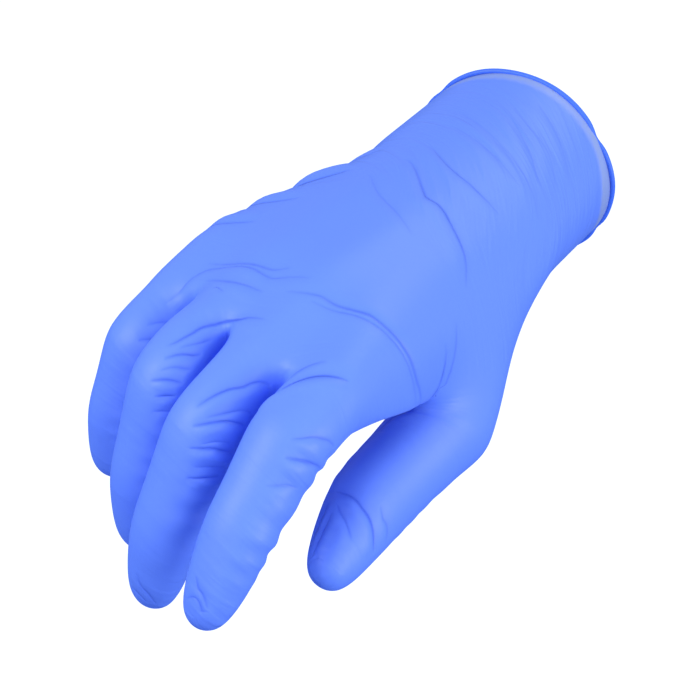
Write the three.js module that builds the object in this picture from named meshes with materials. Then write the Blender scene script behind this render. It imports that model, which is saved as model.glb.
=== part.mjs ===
// A nitrile exam glove: one dipped film with a rolled bead at the mouth of its cuff. It keeps
// the form of the relaxed right hand that it was put on, and is hollow from the mouth to the
// five fingertips. Millimetres, +Z up. The origin is the middle of the cuff's mouth, +Y points
// out of the cuff, the back of the hand faces up and the thumb is on the +X side.
import * as THREE from 'three';

// Driving sizes
const FILM = 1;
const BEAD = 2.6;
const CUFF_LENGTH = 55;
const MOUTH_WIDTH = 66;
const MOUTH_DEPTH = 58;
const WRIST_WIDTH = 68;
const WRIST_DEPTH = 48;
const PALM_LENGTH = 86;
const KNUCKLE_DEPTH = 28;
const FINGER_WIDTH = 22;
const FINGER_LENGTH = 109;
const THUMB_WIDTH = 25;
const THUMB_LENGTH = 111;
const WEB_DEPTH = 20;

// How the hand is carried, in degrees: the wrist bends down and turns towards the little finger
const WRIST = { bend: -3, turn: -9 };

// Cuff, from the mouth (at 0) to the wrist (at 1). flare is how much of the mouth's extra size
// is left, and shift moves the section across, in WRIST_WIDTHs.
const CUFF_ROWS = [
  { at: 0.0, flare: 1.0, shift: -0.03 },
  { at: 0.06, flare: 0.94, shift: -0.03 },
  { at: 0.22, flare: 0.66, shift: -0.03 },
  { at: 0.42, flare: 0.48, shift: -0.03 },
  { at: 0.62, flare: 0.3, shift: -0.03 },
  { at: 0.82, flare: 0.12, shift: -0.03 },
  { at: 1.0, flare: 0.0, shift: -0.015 },
];

// The mouth's edge dips back and forth: share of CUFF_LENGTH at a column, fading over a few
const MOUTH_WAVES = [
  { column: 7, reach: 3.5, dip: 0.075 },
  { column: 1, reach: 2.5, dip: 0.01 },
  { column: 14, reach: 4, dip: 0.03 },
];

// Palm, from the wrist (at 0) to the knuckles (at 1). thenar and heel are the two pads of the
// palm and back is the rise of the back, as shares of KNUCKLE_DEPTH.
const PALM_ROWS = [
  { at: 0.2, thenar: 0.11, heel: 0.07, back: 0.0 },
  { at: 0.4, thenar: 0.21, heel: 0.125, back: 0.02 },
  { at: 0.6, thenar: 0.21, heel: 0.145, back: 0.035 },
  { at: 0.8, thenar: 0.11, heel: 0.11, back: 0.02 },
];

// Fingers. across is in FINGER_WIDTHs, out in PALM_LENGTHs and up in KNUCKLE_DEPTHs from the
// wrist to the knuckle. bones are shares of FINGER_LENGTH, widths are shares of FINGER_WIDTH at
// the root, the middle joint and the last joint. bend, spread, lean (of the plane that it bends
// in) and roll (of its back) are degrees. over and under are the film above and below the
// knuckle, in KNUCKLE_DEPTHs, and web is in WEB_DEPTHs. slit is how much more a finger keeps clear
// of the one on its thumb side, and film how much farther the web between those two runs out.
const FINGERS = [
  {
    name: 'little', across: -1.45, out: 0.825, up: -0.21, bones: [0.35, 0.2, 0.22],
    bend: [36, 46, 18], spread: -8, lean: -1.5, roll: 10, widths: [0.87, 0.765, 0.69],
    over: 0.34, under: 0.535, web: 1, slit: 0, film: 0,
  },
  {
    name: 'ring', across: -0.635, out: 0.93, up: 0, bones: [0.42, 0.275, 0.25],
    bend: [30, 55, 18], spread: -1, lean: -3, roll: 4, widths: [0.94, 0.85, 0.735],
    over: 0.375, under: 0.57, web: 1, slit: 0, film: 0.15,
  },
  {
    name: 'middle', across: 0.275, out: 1, up: 0.105, bones: [0.46, 0.295, 0.265],
    bend: [33, 46, 19], spread: 1, lean: 1.2, roll: 0, widths: [0.98, 0.86, 0.755],
    over: 0.39, under: 0.605, web: 1.2, slit: 1.6, film: 0.3,
  },
  {
    name: 'index', across: 1.225, out: 0.975, up: 0, bones: [0.42, 0.25, 0.285],
    bend: [21, 34, 16], spread: 4.5, lean: 0, roll: -6, widths: [1, 0.875, 0.74],
    over: 0.39, under: 0.605, web: 1.35, slit: 0, film: 0,
  },
];

// Edges of the row of knuckles, from the outer knuckles: side in FINGER_WIDTHs, up in
// KNUCKLE_DEPTHs
const KNUCKLE_EDGES = [
  { column: 0, finger: 0, side: -0.43, up: 0.19 },
  { column: 19, finger: 0, side: -0.545, up: -0.11 },
  { column: 18, finger: 0, side: -0.385, up: -0.43 },
  { column: 8, finger: 3, side: 0.47, up: 0.235 },
  { column: 9, finger: 3, side: 0.68, up: -0.5 },
  { column: 10, finger: 3, side: 0.42, up: -0.58 },
];
const KNUCKLE_DIP = 0.03;
const KNUCKLE_HOLLOW = 0.035;

// Sections of a finger: bone and the share along it, then the breadth and the height of the
// back and the pad as shares of the half width there.
const FINGER_SECTIONS = [
  { bone: 0, at: 0.68, wide: 1.0, over: 0.88, under: 0.97 },
  { bone: 0, at: 0.86, wide: 1.02, over: 0.91, under: 0.97 },
  { bone: 1, at: 0.05, wide: 1.03, over: 0.93, under: 0.89 },
  { bone: 1, at: 0.3, wide: 1.0, over: 0.91, under: 0.95 },
  { bone: 1, at: 0.62, wide: 0.98, over: 0.88, under: 0.99 },
  { bone: 1, at: 0.88, wide: 1.0, over: 0.91, under: 0.94 },
  { bone: 2, at: 0.1, wide: 1.0, over: 0.91, under: 0.9 },
  { bone: 2, at: 0.35, wide: 0.97, over: 0.86, under: 0.97 },
  { bone: 2, at: 0.64, wide: 0.88, over: 0.78, under: 0.92 },
  { bone: 2, at: 0.87, wide: 0.64, over: 0.54, under: 0.7 },
];

// Thumb, from its root in the palm. pan and dip are the direction of each bone in the hand's
// own frame, in degrees, and nail is how far its back is rolled towards the index finger. ahead
// is how far a section runs on towards the tip on its web side, in half widths.
const THUMB = {
  across: 1.08, out: 0.17, up: -0.26, bones: [0.415, 0.305, 0.3],
  pan: [23, -6, 12], dip: [34, 32, 28], nail: 60, widths: [1.08, 0.99, 0.82],
};
const THUMB_SECTIONS = [
  { bone: 0, at: 0.93, wide: 1.05, over: 0.95, under: 1.0, ahead: 0.85 },
  { bone: 1, at: 0.06, wide: 1.05, over: 0.95, under: 0.95, ahead: 0.6 },
  { bone: 1, at: 0.25, wide: 1.0, over: 0.88, under: 0.95, ahead: 0.3 },
  { bone: 1, at: 0.55, wide: 0.97, over: 0.84, under: 0.92, ahead: 0.1 },
  { bone: 1, at: 0.85, wide: 1.0, over: 0.88, under: 0.9, ahead: 0 },
  { bone: 2, at: 0.05, wide: 1.0, over: 0.9, under: 0.9, ahead: 0 },
  { bone: 2, at: 0.3, wide: 0.91, over: 0.8, under: 0.9, ahead: 0 },
  { bone: 2, at: 0.62, wide: 0.76, over: 0.68, under: 0.8, ahead: 0 },
  { bone: 2, at: 0.88, wide: 0.56, over: 0.48, under: 0.58, ahead: 0 },
];

// Where the film of the palm leaves for the thumb. palm counts the palm's rows and column its
// columns. The point goes to a place round the thumb: bone, share along it, degrees round it
// and reach in half widths. pull is how far it goes there.
const THUMB_ROOT = [
  { palm: -1, column: 9, bone: 0, at: -0.2, turn: 60, reach: 1.2, pull: 0.25 },
  { palm: -1, column: 10, bone: 0, at: -0.2, turn: 0, reach: 1.2, pull: 0.25 },
  { palm: 0, column: 8, bone: 0, at: 0.15, turn: 130, reach: 1.3, pull: 0.35 },
  { palm: 0, column: 9, bone: 0, at: 0.12, turn: 70, reach: 1.12, pull: 0.85 },
  { palm: 0, column: 10, bone: 0, at: 0.1, turn: 0, reach: 1.2, pull: 0.85 },
  { palm: 0, column: 11, bone: 0, at: 0.12, turn: -60, reach: 1.25, pull: 0.7 },
  { palm: 1, column: 8, bone: 0, at: 0.4, turn: 130, reach: 1.45, pull: 0.45 },
  { palm: 1, column: 9, bone: 0, at: 0.45, turn: 75, reach: 1.1, pull: 0.95 },
  { palm: 1, column: 10, bone: 0, at: 0.45, turn: 5, reach: 1.15, pull: 0.95 },
  { palm: 1, column: 11, bone: 0, at: 0.45, turn: -60, reach: 1.2, pull: 0.85 },
  { palm: 1, column: 12, bone: 0, at: 0.3, turn: -110, reach: 1.5, pull: 0.4 },
  { palm: 2, column: 8, bone: 0, at: 0.7, turn: 140, reach: 1.5, pull: 0.35 },
  { palm: 2, column: 9, bone: 0, at: 0.8, turn: 105, reach: 1.15, pull: 0.95 },
  { palm: 2, column: 11, bone: 0, at: 0.72, turn: -95, reach: 1.2, pull: 0.85 },
  { palm: 2, column: 12, bone: 0, at: 0.5, turn: -130, reach: 1.6, pull: 0.35 },
  { palm: 3, column: 8, bone: 1, at: 0.1, turn: 120, reach: 1.8, pull: 0.25 },
  { palm: 3, column: 9, bone: 1, at: 0.3, turn: 150, reach: 1.1, pull: 0.6 },
  { palm: 3, column: 10, bone: 1, at: 0.35, turn: 180, reach: 1.05, pull: 0.6 },
  { palm: 3, column: 11, bone: 0, at: 0.95, turn: -135, reach: 1.2, pull: 0.6 },
  { palm: 3, column: 12, bone: 0, at: 0.7, turn: -150, reach: 1.8, pull: 0.25 },
  { palm: 4, column: 8, bone: 1, at: 0.3, turn: 110, reach: 2.2, pull: 0.15 },
  { palm: 4, column: 9, bone: 1, at: 0.5, turn: 130, reach: 1.5, pull: 0.5 },
  { palm: 4, column: 10, bone: 1, at: 0.5, turn: 160, reach: 1.5, pull: 0.4 },
  { palm: 5, column: 9, bone: 1, at: 0.65, turn: 140, reach: 1.4, pull: 0.35 },
  { palm: 5, column: 10, bone: 1, at: 0.65, turn: 150, reach: 1.5, pull: 0.2 },
];

// Columns run round the hand: 0 to 8 over the back from the little finger to the index finger,
// 9 on the index side, 10 to 18 back along the palm and 19 on the little finger's side. Turns
// are in degrees from the index side over the back.
const COLUMNS = { count: 20, lastBack: 8, firstPalm: 10, lastPalm: 18, firstTurn: 162, step: 18 };

// Pads of the palm: how many columns in from the little finger's side each lies, and its reach
const THENAR_PAD = { column: 6.5, reach: 3 };
const HEEL_PAD = { column: 1, reach: 2.5 };

// Corners of a finger's ring, in degrees from its index side over its back
const FINGER_TURNS = [135, 90, 45, 0, -45, -90, -135, 180];

// A finger's ring at the web, how much fuller the finger is at its knuckle than at its root, how
// square its rings are, and the share of a bone over which its axes turn at a joint
const FINGER_ROOT = { wide: 1.06, over: 0.95, under: 1.12 };
const ROOT_FULLNESS = 1.04;
const SQUARENESS = 0.05;
const JOINT_REACH = 0.25;

// Corners of a finger's root that it shares with the next finger's, near side first, and the line
// of corners, as [finger, corner], that runs round all the roots and meets the hand
const WEB_CORNERS = [[2, 0], [3, 7], [4, 6]];
const ROOT_LINE = [
  [0, 0], [0, 1], [0, 2], [1, 1], [1, 2], [2, 1], [2, 2], [3, 1], [3, 2], [3, 3],
  [3, 4], [3, 5], [3, 6], [2, 5], [2, 6], [1, 5], [1, 6], [0, 5], [0, 6], [0, 7],
];

// Smoothing draws a ring of control points in to these shares of its size
const SHRINK = { finger: 0.902, hand: 0.984 };

// The thumb leaves the palm through two rows and two columns of the net, at this share along its
// first bone
const THUMB_HOLE = { row: 1, column: 9, rows: 2, columns: 2 };
const THUMB_ROOT_AT = 0.6;

// How far a finger's control points stay from the plane between it and the next finger, in its
// first section beyond the web and in the others
const PRESS_GAPS = { first: 2.8, others: 0.6 };

// Main folds of the film. Each lies on a part of the glove and runs through places on it: how far
// along it, and degrees round it. On the hand, along is 0 at the mouth, 1 at the wrist, 2 at the
// knuckles and 3 at the webs, and on a digit it counts the bones from the root. lift and width
// are in FOLD_HEIGHTs and FOLD_WIDTHs. The film sinks beside the fold by the share sink of its
// lift, on its left seen from outside, or on its right where sink is negative.
const FOLD_HEIGHT = 1;
const FOLD_WIDTH = 2.6;
const FOLDS = [
  {
    name: 'pull over the outer knuckles', on: 'hand', lift: 0.8, width: 1, sink: 0.6,
    along: [2.93, 2.83, 2.6, 2.35, 2.17], round: [140, 131, 105, 80, 63],
  },
  {
    name: 'pull over the index knuckle', on: 'hand', lift: 0.7, width: 1, sink: -0.7,
    along: [2.25, 2.13, 2.1, 2.04, 1.93], round: [71, 46, 31, 16, 2],
  },
  {
    name: 'pull at the wrist', on: 'hand', lift: 0.8, width: 1.1, sink: 0.7,
    along: [1.22, 1.37, 1.43, 1.52, 1.62], round: [112, 89, 68, 45, 29],
  },
  {
    name: 'pull across the cuff', on: 'hand', lift: 0.6, width: 1.1, sink: 0.6,
    along: [0.82, 0.93, 1.02, 1.08], round: [112, 92, 72, 52],
  },
  {
    name: 'pull behind the webs', on: 'hand', lift: 0.7, width: 1, sink: 0.6,
    along: [2.97, 2.95, 2.8, 2.66], round: [100, 88, 80, 72],
  },
  {
    name: 'film puffed up beside the wrist', on: 'hand', lift: 1.9, width: 2, sink: 0.4,
    along: [1.26, 1.34, 1.4, 1.42], round: [140, 154, 172, 190],
  },
  {
    name: 'smaller puff beside the palm', on: 'hand', lift: 0.9, width: 1.55, sink: 0.4,
    along: [1.6, 1.66, 1.7, 1.72], round: [138, 152, 170, 188],
  },
  {
    name: 'web of the index finger', on: 'index', lift: 1.1, width: 0.9, sink: 0.8,
    along: [0.82, 0.73, 0.66, 0.6], round: [126, 104, 80, 57],
  },
  {
    name: 'web of the middle finger', on: 'middle', lift: 1.1, width: 0.9, sink: 0.8,
    along: [0.95, 0.86, 0.78, 0.7], round: [80, 66, 45, 20],
  },
  {
    name: 'web of the ring finger', on: 'ring', lift: 1, width: 0.9, sink: 0.8,
    along: [0.9, 0.78, 0.65], round: [92, 69, 46],
  },
  {
    name: 'upper fold inside the index finger', on: 'index', lift: 0.8, width: 0.8, sink: 0.7,
    along: [1.15, 1.06, 0.99, 0.96], round: [62, 39, 12, -20],
  },
  {
    name: 'lower fold inside the index finger', on: 'index', lift: 0.8, width: 0.8, sink: 0.7,
    along: [1.3, 1.25, 1.21, 1.2], round: [60, 35, 5, -25],
  },
  {
    name: 'fold inside the middle finger', on: 'middle', lift: 0.8, width: 0.8, sink: 0.7,
    along: [1.24, 1.19, 1.17, 1.16], round: [75, 52, 25, 0],
  },
  {
    name: 'fold at the last joint of the thumb', on: 'thumb', lift: 0.9, width: 0.9, sink: 0.8,
    along: [2.27, 2.31, 2.39, 2.5, 2.55], round: [195, 161, 124, 92, 70],
  },
];

// How far from a fold the film moves, how finely its line is followed, and where the film beside
// it sinks most, in widths
const FOLD_REACH = 9;
const STEPS_A_PLACE = 12;
const SINK_AT = 1.6;

const rad = THREE.MathUtils.degToRad;
const X = new THREE.Vector3(1, 0, 0);
const Y = new THREE.Vector3(0, 1, 0);
const Z = new THREE.Vector3(0, 0, 1);

function turned(base, axis, degrees) {
  return base.clone().multiply(new THREE.Quaternion().setFromAxisAngle(axis, rad(degrees)));
}

function axesOf(turn) {
  return {
    side: X.clone().applyQuaternion(turn),
    back: Y.clone().applyQuaternion(turn),
    up: Z.clone().applyQuaternion(turn),
  };
}

function middle(a, b) {
  return a.clone().lerp(b, 0.5);
}

// Value of a list of evenly spaced values at a place between them
function valueAt(values, place) {
  const low = Math.min(Math.max(Math.floor(place), 0), values.length - 2);
  return values[low] + (values[low + 1] - values[low]) * (place - low);
}

// How much is left of a pad at a column: all in its middle, nothing at its reach
function padAt(pad, column) {
  return Math.max(0, 1 - Math.abs(column - pad.column) / pad.reach);
}

const handTurn = turned(turned(new THREE.Quaternion(), X, WRIST.bend), Z, WRIST.turn);
const handAxes = axesOf(handTurn);

function fromWrist(row) {
  return new THREE.Vector3(0, -CUFF_LENGTH, 0)
    .addScaledVector(handAxes.side, row.across * FINGER_WIDTH)
    .addScaledVector(handAxes.back, -row.out * PALM_LENGTH)
    .addScaledVector(handAxes.up, row.up * KNUCKLE_DEPTH);
}

// Joints of a digit, from its root to its tip
function jointsOf(row, axes, length) {
  const joints = [fromWrist(row)];
  row.bones.forEach((share, i) => {
    joints.push(joints[i].clone().addScaledVector(axes[i].back, -share * length));
  });
  return joints;
}

function fingerBones(row) {
  const spread = turned(turned(handTurn, Z, row.spread), Y, row.lean);
  let bend = 0;
  const axes = row.bend.map((more) => {
    bend += more;
    return axesOf(turned(turned(spread, X, bend), Y, row.roll));
  });
  const knuckle = axesOf(turned(turned(spread, X, row.bend[0] / 2), Y, row.roll));
  return { joints: jointsOf(row, axes, FINGER_LENGTH), axes, knuckle };
}

function thumbBones() {
  const nail = Z.clone().applyQuaternion(turned(handTurn, Y, THUMB.nail));
  const axes = THUMB.pan.map((pan, i) => {
    const dip = THUMB.dip[i];
    const back = new THREE.Vector3(
      -Math.sin(rad(pan)) * Math.cos(rad(dip)),
      Math.cos(rad(pan)) * Math.cos(rad(dip)),
      Math.sin(rad(dip)),
    ).applyQuaternion(handTurn);
    const up = nail.clone().addScaledVector(back, -nail.dot(back)).normalize();
    return { side: back.clone().cross(up), back, up };
  });
  return { joints: jointsOf(THUMB, axes, THUMB_LENGTH), axes };
}

// Axes at a share along a bone. They turn through half of each bend on either side of a joint.
function axesAt(axes, bone, at) {
  let [from, to, share] = [axes[bone], axes[bone], 0];
  if (at < JOINT_REACH && bone > 0) {
    [from, to, share] = [axes[bone - 1], axes[bone], 0.5 + (at / JOINT_REACH) * 0.5];
  } else if (at > 1 - JOINT_REACH && bone < axes.length - 1) {
    [from, to, share] = [axes[bone], axes[bone + 1], ((at - 1 + JOINT_REACH) / JOINT_REACH) * 0.5];
  }
  const back = from.back.clone().lerp(to.back, share).normalize();
  const up = from.up.clone().lerp(to.up, share);
  up.addScaledVector(back, -up.dot(back)).normalize();
  return { side: back.clone().cross(up), back, up };
}

function ringAround(centre, axes, half, section) {
  return FINGER_TURNS.map((turn) => {
    const across = Math.cos(rad(turn));
    const height = Math.sin(rad(turn));
    const full = (1 + SQUARENESS * Math.abs(Math.sin(2 * rad(turn)))) / SHRINK.finger;
    return centre.clone()
      .addScaledVector(axes.side, half * section.wide * across * full)
      .addScaledVector(axes.back, -half * (section.ahead ?? 0) * Math.max(0, -across))
      .addScaledVector(axes.up, half * (height > 0 ? section.over : section.under) * height * full);
  });
}

// The place on a finger's bones that is nearest to a point
function nearestOn(joints, point) {
  const spots = joints.slice(1).map((joint, i) => (
    new THREE.Line3(joints[i], joint).closestPointToPoint(point, true, new THREE.Vector3())
  ));
  return spots.reduce((best, spot) => (spot.distanceTo(point) < best.distanceTo(point) ? spot : best));
}

// Fingers that touch are pressed flat: what would pass the plane between them goes back to it
function pressApart(rings, own, other, slit) {
  rings.forEach((ring, i) => ring.forEach((point) => {
    const mine = nearestOn(own, point);
    const next = nearestOn(other, point);
    const away = mine.clone().sub(next).normalize();
    const clear = point.clone().sub(middle(mine, next)).dot(away);
    const gap = i === 0 ? PRESS_GAPS.first : PRESS_GAPS.others + slit;
    point.addScaledVector(away, Math.max(0, gap - clear));
  }));
}

function halfWidths(widths, size) {
  return [ROOT_FULLNESS * widths[0], ...widths].map((share) => (share * size) / 2);
}

function sectionRings(digit, sections, halves) {
  return sections.map((section) => {
    const { bone, at } = section;
    const centre = digit.joints[bone].clone().lerp(digit.joints[bone + 1], at);
    return ringAround(centre, axesAt(digit.axes, bone, at), valueAt(halves, bone + at), section);
  });
}

// Rows of the hand's net, from the mouth of the cuff to the knuckles
const fingers = FINGERS.map(fingerBones);
const thumb = thumbBones();

// A bump that is 1 at a place and falls smoothly to 0 at a reach from it
function swell(distance, reach) {
  return (1 + Math.cos(Math.PI * Math.min(1, Math.abs(distance) / reach))) / 2;
}

function mouthDip(column) {
  return MOUTH_WAVES.reduce((sum, wave) => sum + wave.dip * swell(column - wave.column, wave.reach), 0);
}

function cuffRow(row) {
  const halfWidth = (WRIST_WIDTH + (MOUTH_WIDTH - WRIST_WIDTH) * row.flare) / 2 / SHRINK.hand;
  const halfDepth = (WRIST_DEPTH + (MOUTH_DEPTH - WRIST_DEPTH) * row.flare) / 2 / SHRINK.hand;
  return Array.from({ length: COLUMNS.count }, (_, column) => {
    const turn = rad(COLUMNS.firstTurn - COLUMNS.step * column);
    return new THREE.Vector3(
      row.shift * WRIST_WIDTH + halfWidth * Math.cos(turn),
      -(row.at + mouthDip(column) * (1 - row.at)) * CUFF_LENGTH,
      halfDepth * Math.sin(turn),
    );
  });
}

function knuckleRow() {
  const row = [];
  FINGERS.forEach((finger, i) => {
    const { joints, knuckle } = fingers[i];
    row[2 * i + 1] = joints[0].clone().addScaledVector(knuckle.up, finger.over * KNUCKLE_DEPTH);
    row[COLUMNS.lastPalm - 2 * i - 1] = joints[0].clone()
      .addScaledVector(knuckle.up, -finger.under * KNUCKLE_DEPTH);
  });
  for (const column of [2, 4, 6]) {
    const palm = COLUMNS.lastPalm - column;
    row[column] = middle(row[column - 1], row[column + 1]);
    row[column].z -= KNUCKLE_DIP * KNUCKLE_DEPTH;
    row[palm] = middle(row[palm - 1], row[palm + 1]);
    row[palm].z += KNUCKLE_HOLLOW * KNUCKLE_DEPTH;
  }
  for (const edge of KNUCKLE_EDGES) {
    const { joints, knuckle } = fingers[edge.finger];
    row[edge.column] = joints[0].clone()
      .addScaledVector(knuckle.side, edge.side * FINGER_WIDTH)
      .addScaledVector(knuckle.up, edge.up * KNUCKLE_DEPTH);
  }
  return row;
}

function palmRow(row, wristRow, lastRow) {
  return wristRow.map((from, column) => {
    const point = from.clone().lerp(lastRow[column], row.at);
    if (column <= COLUMNS.lastBack) {
      point.z += row.back * KNUCKLE_DEPTH;
    } else if (column >= COLUMNS.firstPalm && column <= COLUMNS.lastPalm) {
      const across = COLUMNS.lastPalm - column;
      point.z -= row.thenar * padAt(THENAR_PAD, across) * KNUCKLE_DEPTH;
      point.z -= row.heel * padAt(HEEL_PAD, across) * KNUCKLE_DEPTH;
    }
    return point;
  });
}

// Roots of the fingers. Neighbours meet in the web between them.
function rootAlong(finger, { joints }) {
  return (finger.web * WEB_DEPTH) / joints[0].distanceTo(joints[1]);
}

const rootRings = FINGERS.map((finger, i) => {
  const { joints, axes } = fingers[i];
  const half = (finger.widths[0] * FINGER_WIDTH) / 2 * FINGER_ROOT.wide;
  const section = { wide: 1, over: FINGER_ROOT.over, under: FINGER_ROOT.under };
  return ringAround(joints[0].clone().lerp(joints[1], rootAlong(finger, fingers[i])), axes[0], half, section);
});
for (let i = 0; i + 1 < rootRings.length; i += 1) {
  const out = fingers[i].joints[1].clone().sub(fingers[i].joints[0]).normalize();
  for (const [near, far] of WEB_CORNERS) {
    const shared = middle(rootRings[i][near], rootRings[i + 1][far]);
    shared.addScaledVector(out, FINGERS[i].film * WEB_DEPTH);
    rootRings[i][near] = shared;
    rootRings[i + 1][far] = shared;
  }
}
const rootRow = ROOT_LINE.map(([finger, corner]) => rootRings[finger][corner]);

const cuffRows = CUFF_ROWS.map(cuffRow);
const wristRow = cuffRows[cuffRows.length - 1];
const knuckles = knuckleRow();
const rows = [
  ...cuffRows,
  ...PALM_ROWS.map((row) => palmRow(row, wristRow, knuckles)),
  knuckles,
  knuckles.map((point, column) => middle(point, rootRow[column])),
];

const thumbHalf = (THUMB.widths[0] * THUMB_WIDTH) / 2;
for (const pull of THUMB_ROOT) {
  const centre = thumb.joints[pull.bone].clone().lerp(thumb.joints[pull.bone + 1], pull.at);
  const axes = thumb.axes[pull.bone];
  centre.addScaledVector(axes.side, pull.reach * thumbHalf * Math.cos(rad(pull.turn)));
  centre.addScaledVector(axes.up, pull.reach * thumbHalf * Math.sin(rad(pull.turn)));
  rows[cuffRows.length + pull.palm][pull.column].lerp(centre, pull.pull);
}

// The net of quads that the smooth form follows
const net = { points: [], quads: [] };

function addRing(ring) {
  return ring.map((point) => net.points.push(point) - 1);
}

function joinRings(from, to, skip = () => false) {
  from.forEach((corner, i) => {
    const next = (i + 1) % from.length;
    if (!skip(i)) net.quads.push([corner, to[i], to[next], from[next]]);
  });
}

function closeTip(ring, tip) {
  const centre = net.points.push(tip) - 1;
  for (let i = 0; i < ring.length; i += 2) {
    net.quads.push([ring[i], centre, ring[(i + 2) % ring.length], ring[i + 1]]);
  }
}

function addDigit(root, rings, tip) {
  let from = root;
  for (const ring of rings) {
    const to = addRing(ring);
    joinRings(from, to);
    from = to;
  }
  closeTip(from, tip);
}

const hole = {
  first: cuffRows.length + THUMB_HOLE.row,
  last: cuffRows.length + THUMB_HOLE.row + THUMB_HOLE.rows,
  left: THUMB_HOLE.column,
  right: THUMB_HOLE.column + THUMB_HOLE.columns,
};
const rowIds = rows.map(addRing);
for (let r = 0; r + 1 < rowIds.length; r += 1) {
  const inHole = (column) => r >= hole.first && r < hole.last && column >= hole.left && column < hole.right;
  joinRings(rowIds[r], rowIds[r + 1], inHole);
}

const rootIds = rootRings.map(addRing);
for (let i = 0; i + 1 < rootIds.length; i += 1) {
  for (const [near, far] of WEB_CORNERS) rootIds[i + 1][far] = rootIds[i][near];
}
joinRings(rowIds[rowIds.length - 1], ROOT_LINE.map(([finger, corner]) => rootIds[finger][corner]));

const fingerRings = FINGERS.map((finger, i) => {
  const rings = sectionRings(fingers[i], FINGER_SECTIONS, halfWidths(finger.widths, FINGER_WIDTH));
  if (i > 0) pressApart(rings, fingers[i].joints, fingers[i - 1].joints, 0);
  if (i + 1 < fingers.length) pressApart(rings, fingers[i].joints, fingers[i + 1].joints, finger.slit);
  return rings;
});
fingerRings.forEach((rings, i) => addDigit(rootIds[i], rings, fingers[i].joints[3]));

const [near, mid, far] = [rowIds[hole.first], rowIds[hole.first + 1], rowIds[hole.last]];
const [left, centre, right] = [hole.left, hole.left + 1, hole.right];
const thumbRoot = [
  far[left], mid[left], near[left], near[centre], near[right], mid[right], far[right], far[centre],
];
const thumbRings = sectionRings(thumb, THUMB_SECTIONS, halfWidths(THUMB.widths, THUMB_WIDTH));
addDigit(thumbRoot, thumbRings, thumb.joints[3]);

// Each part of the glove as rings of the net and how far along it they are
const handTurns = { first: COLUMNS.firstTurn, step: COLUMNS.step };
const digitTurns = { first: FINGER_TURNS[0], step: FINGER_TURNS[0] - FINGER_TURNS[1] };
const sectionAt = ({ bone, at }) => bone + at;
const grids = {
  hand: {
    turns: handTurns,
    rings: [...rows, rootRow],
    along: [...CUFF_ROWS.map(({ at }) => at), ...PALM_ROWS.map(({ at }) => 1 + at), 2, 2.5, 3],
  },
  thumb: {
    turns: digitTurns,
    rings: [thumbRoot.map((id) => net.points[id]), ...thumbRings],
    along: [THUMB_ROOT_AT, ...THUMB_SECTIONS.map(sectionAt)],
  },
};
FINGERS.forEach((finger, i) => {
  grids[finger.name] = {
    turns: digitTurns,
    rings: [rootRings[i], ...fingerRings[i]],
    along: [rootAlong(finger, fingers[i]), ...FINGER_SECTIONS.map(sectionAt)],
  };
});

// A place of the net: a part of the glove, how far along it, and degrees round it
function placeOn(part, along, turn) {
  const { turns, rings, along: steps } = grids[part];
  const last = steps.findIndex((step, i) => i > 0 && (along <= step || i === steps.length - 1));
  const share = (along - steps[last - 1]) / (steps[last] - steps[last - 1]);
  const column = THREE.MathUtils.euclideanModulo(turns.first - turn, 360) / turns.step;
  const low = Math.floor(column);
  const acrossAt = (i) => rings[last - 1][i].clone().lerp(rings[last][i], share);
  return acrossAt(low).lerp(acrossAt((low + 1) % rings[last].length), column - low);
}

// The net without the point that the thumb's hole leaves over
function trimmed({ points, quads }) {
  const ids = new Map([...new Set(quads.flat())].map((old, i) => [old, i]));
  return {
    points: [...ids.keys()].map((old) => points[old]),
    quads: quads.map((quad) => quad.map((corner) => ids.get(corner))),
  };
}

// How far a corner of the open rim goes towards its neighbours as the net is smoothed
const RIM_PULL = 0.25;

// One step of Catmull-Clark smoothing of a net of quads, open at the mouth
function smoothed({ points, quads }) {
  const faceCentres = quads.map((quad) => {
    const centre = new THREE.Vector3();
    quad.forEach((corner) => centre.addScaledVector(points[corner], 1 / quad.length));
    return centre;
  });
  const edges = new Map();
  quads.forEach((quad, face) => {
    quad.forEach((a, i) => {
      const b = quad[(i + 1) % quad.length];
      const key = a < b ? `${a} ${b}` : `${b} ${a}`;
      if (!edges.has(key)) edges.set(key, { a, b, faces: [], id: edges.size });
      edges.get(key).faces.push(face);
    });
  });
  const around = points.map(() => ({ faces: [], mids: [], rim: [] }));
  quads.forEach((quad, face) => quad.forEach((corner) => around[corner].faces.push(faceCentres[face])));
  const edgePoints = [];
  for (const { a, b, faces, id } of edges.values()) {
    const mid = middle(points[a], points[b]);
    around[a].mids.push(mid);
    around[b].mids.push(mid);
    if (faces.length === 2) {
      edgePoints[id] = middle(mid, middle(faceCentres[faces[0]], faceCentres[faces[1]]));
    } else {
      edgePoints[id] = mid;
      around[a].rim.push(points[b]);
      around[b].rim.push(points[a]);
    }
  }
  const total = (list) => list.reduce((sum, point) => sum.add(point), new THREE.Vector3());
  const mean = (list) => total(list).divideScalar(list.length);
  const corners = points.map((point, i) => {
    const { faces, mids, rim } = around[i];
    if (rim.length > 0) return point.clone().lerp(mean(rim), RIM_PULL);
    const n = faces.length;
    return mean(faces).addScaledVector(mean(mids), 2).addScaledVector(point, n - 3).divideScalar(n);
  });
  const edgeBase = corners.length;
  const faceBase = edgeBase + edgePoints.length;
  const idOf = (a, b) => edgeBase + edges.get(a < b ? `${a} ${b}` : `${b} ${a}`).id;
  const finer = quads.flatMap((quad, face) => quad.map((corner, i) => {
    const next = quad[(i + 1) % quad.length];
    const last = quad[(i + quad.length - 1) % quad.length];
    return [corner, idOf(corner, next), faceBase + face, idOf(last, corner)];
  }));
  return { points: [...corners, ...edgePoints, ...faceCentres], quads: finer };
}

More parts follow.
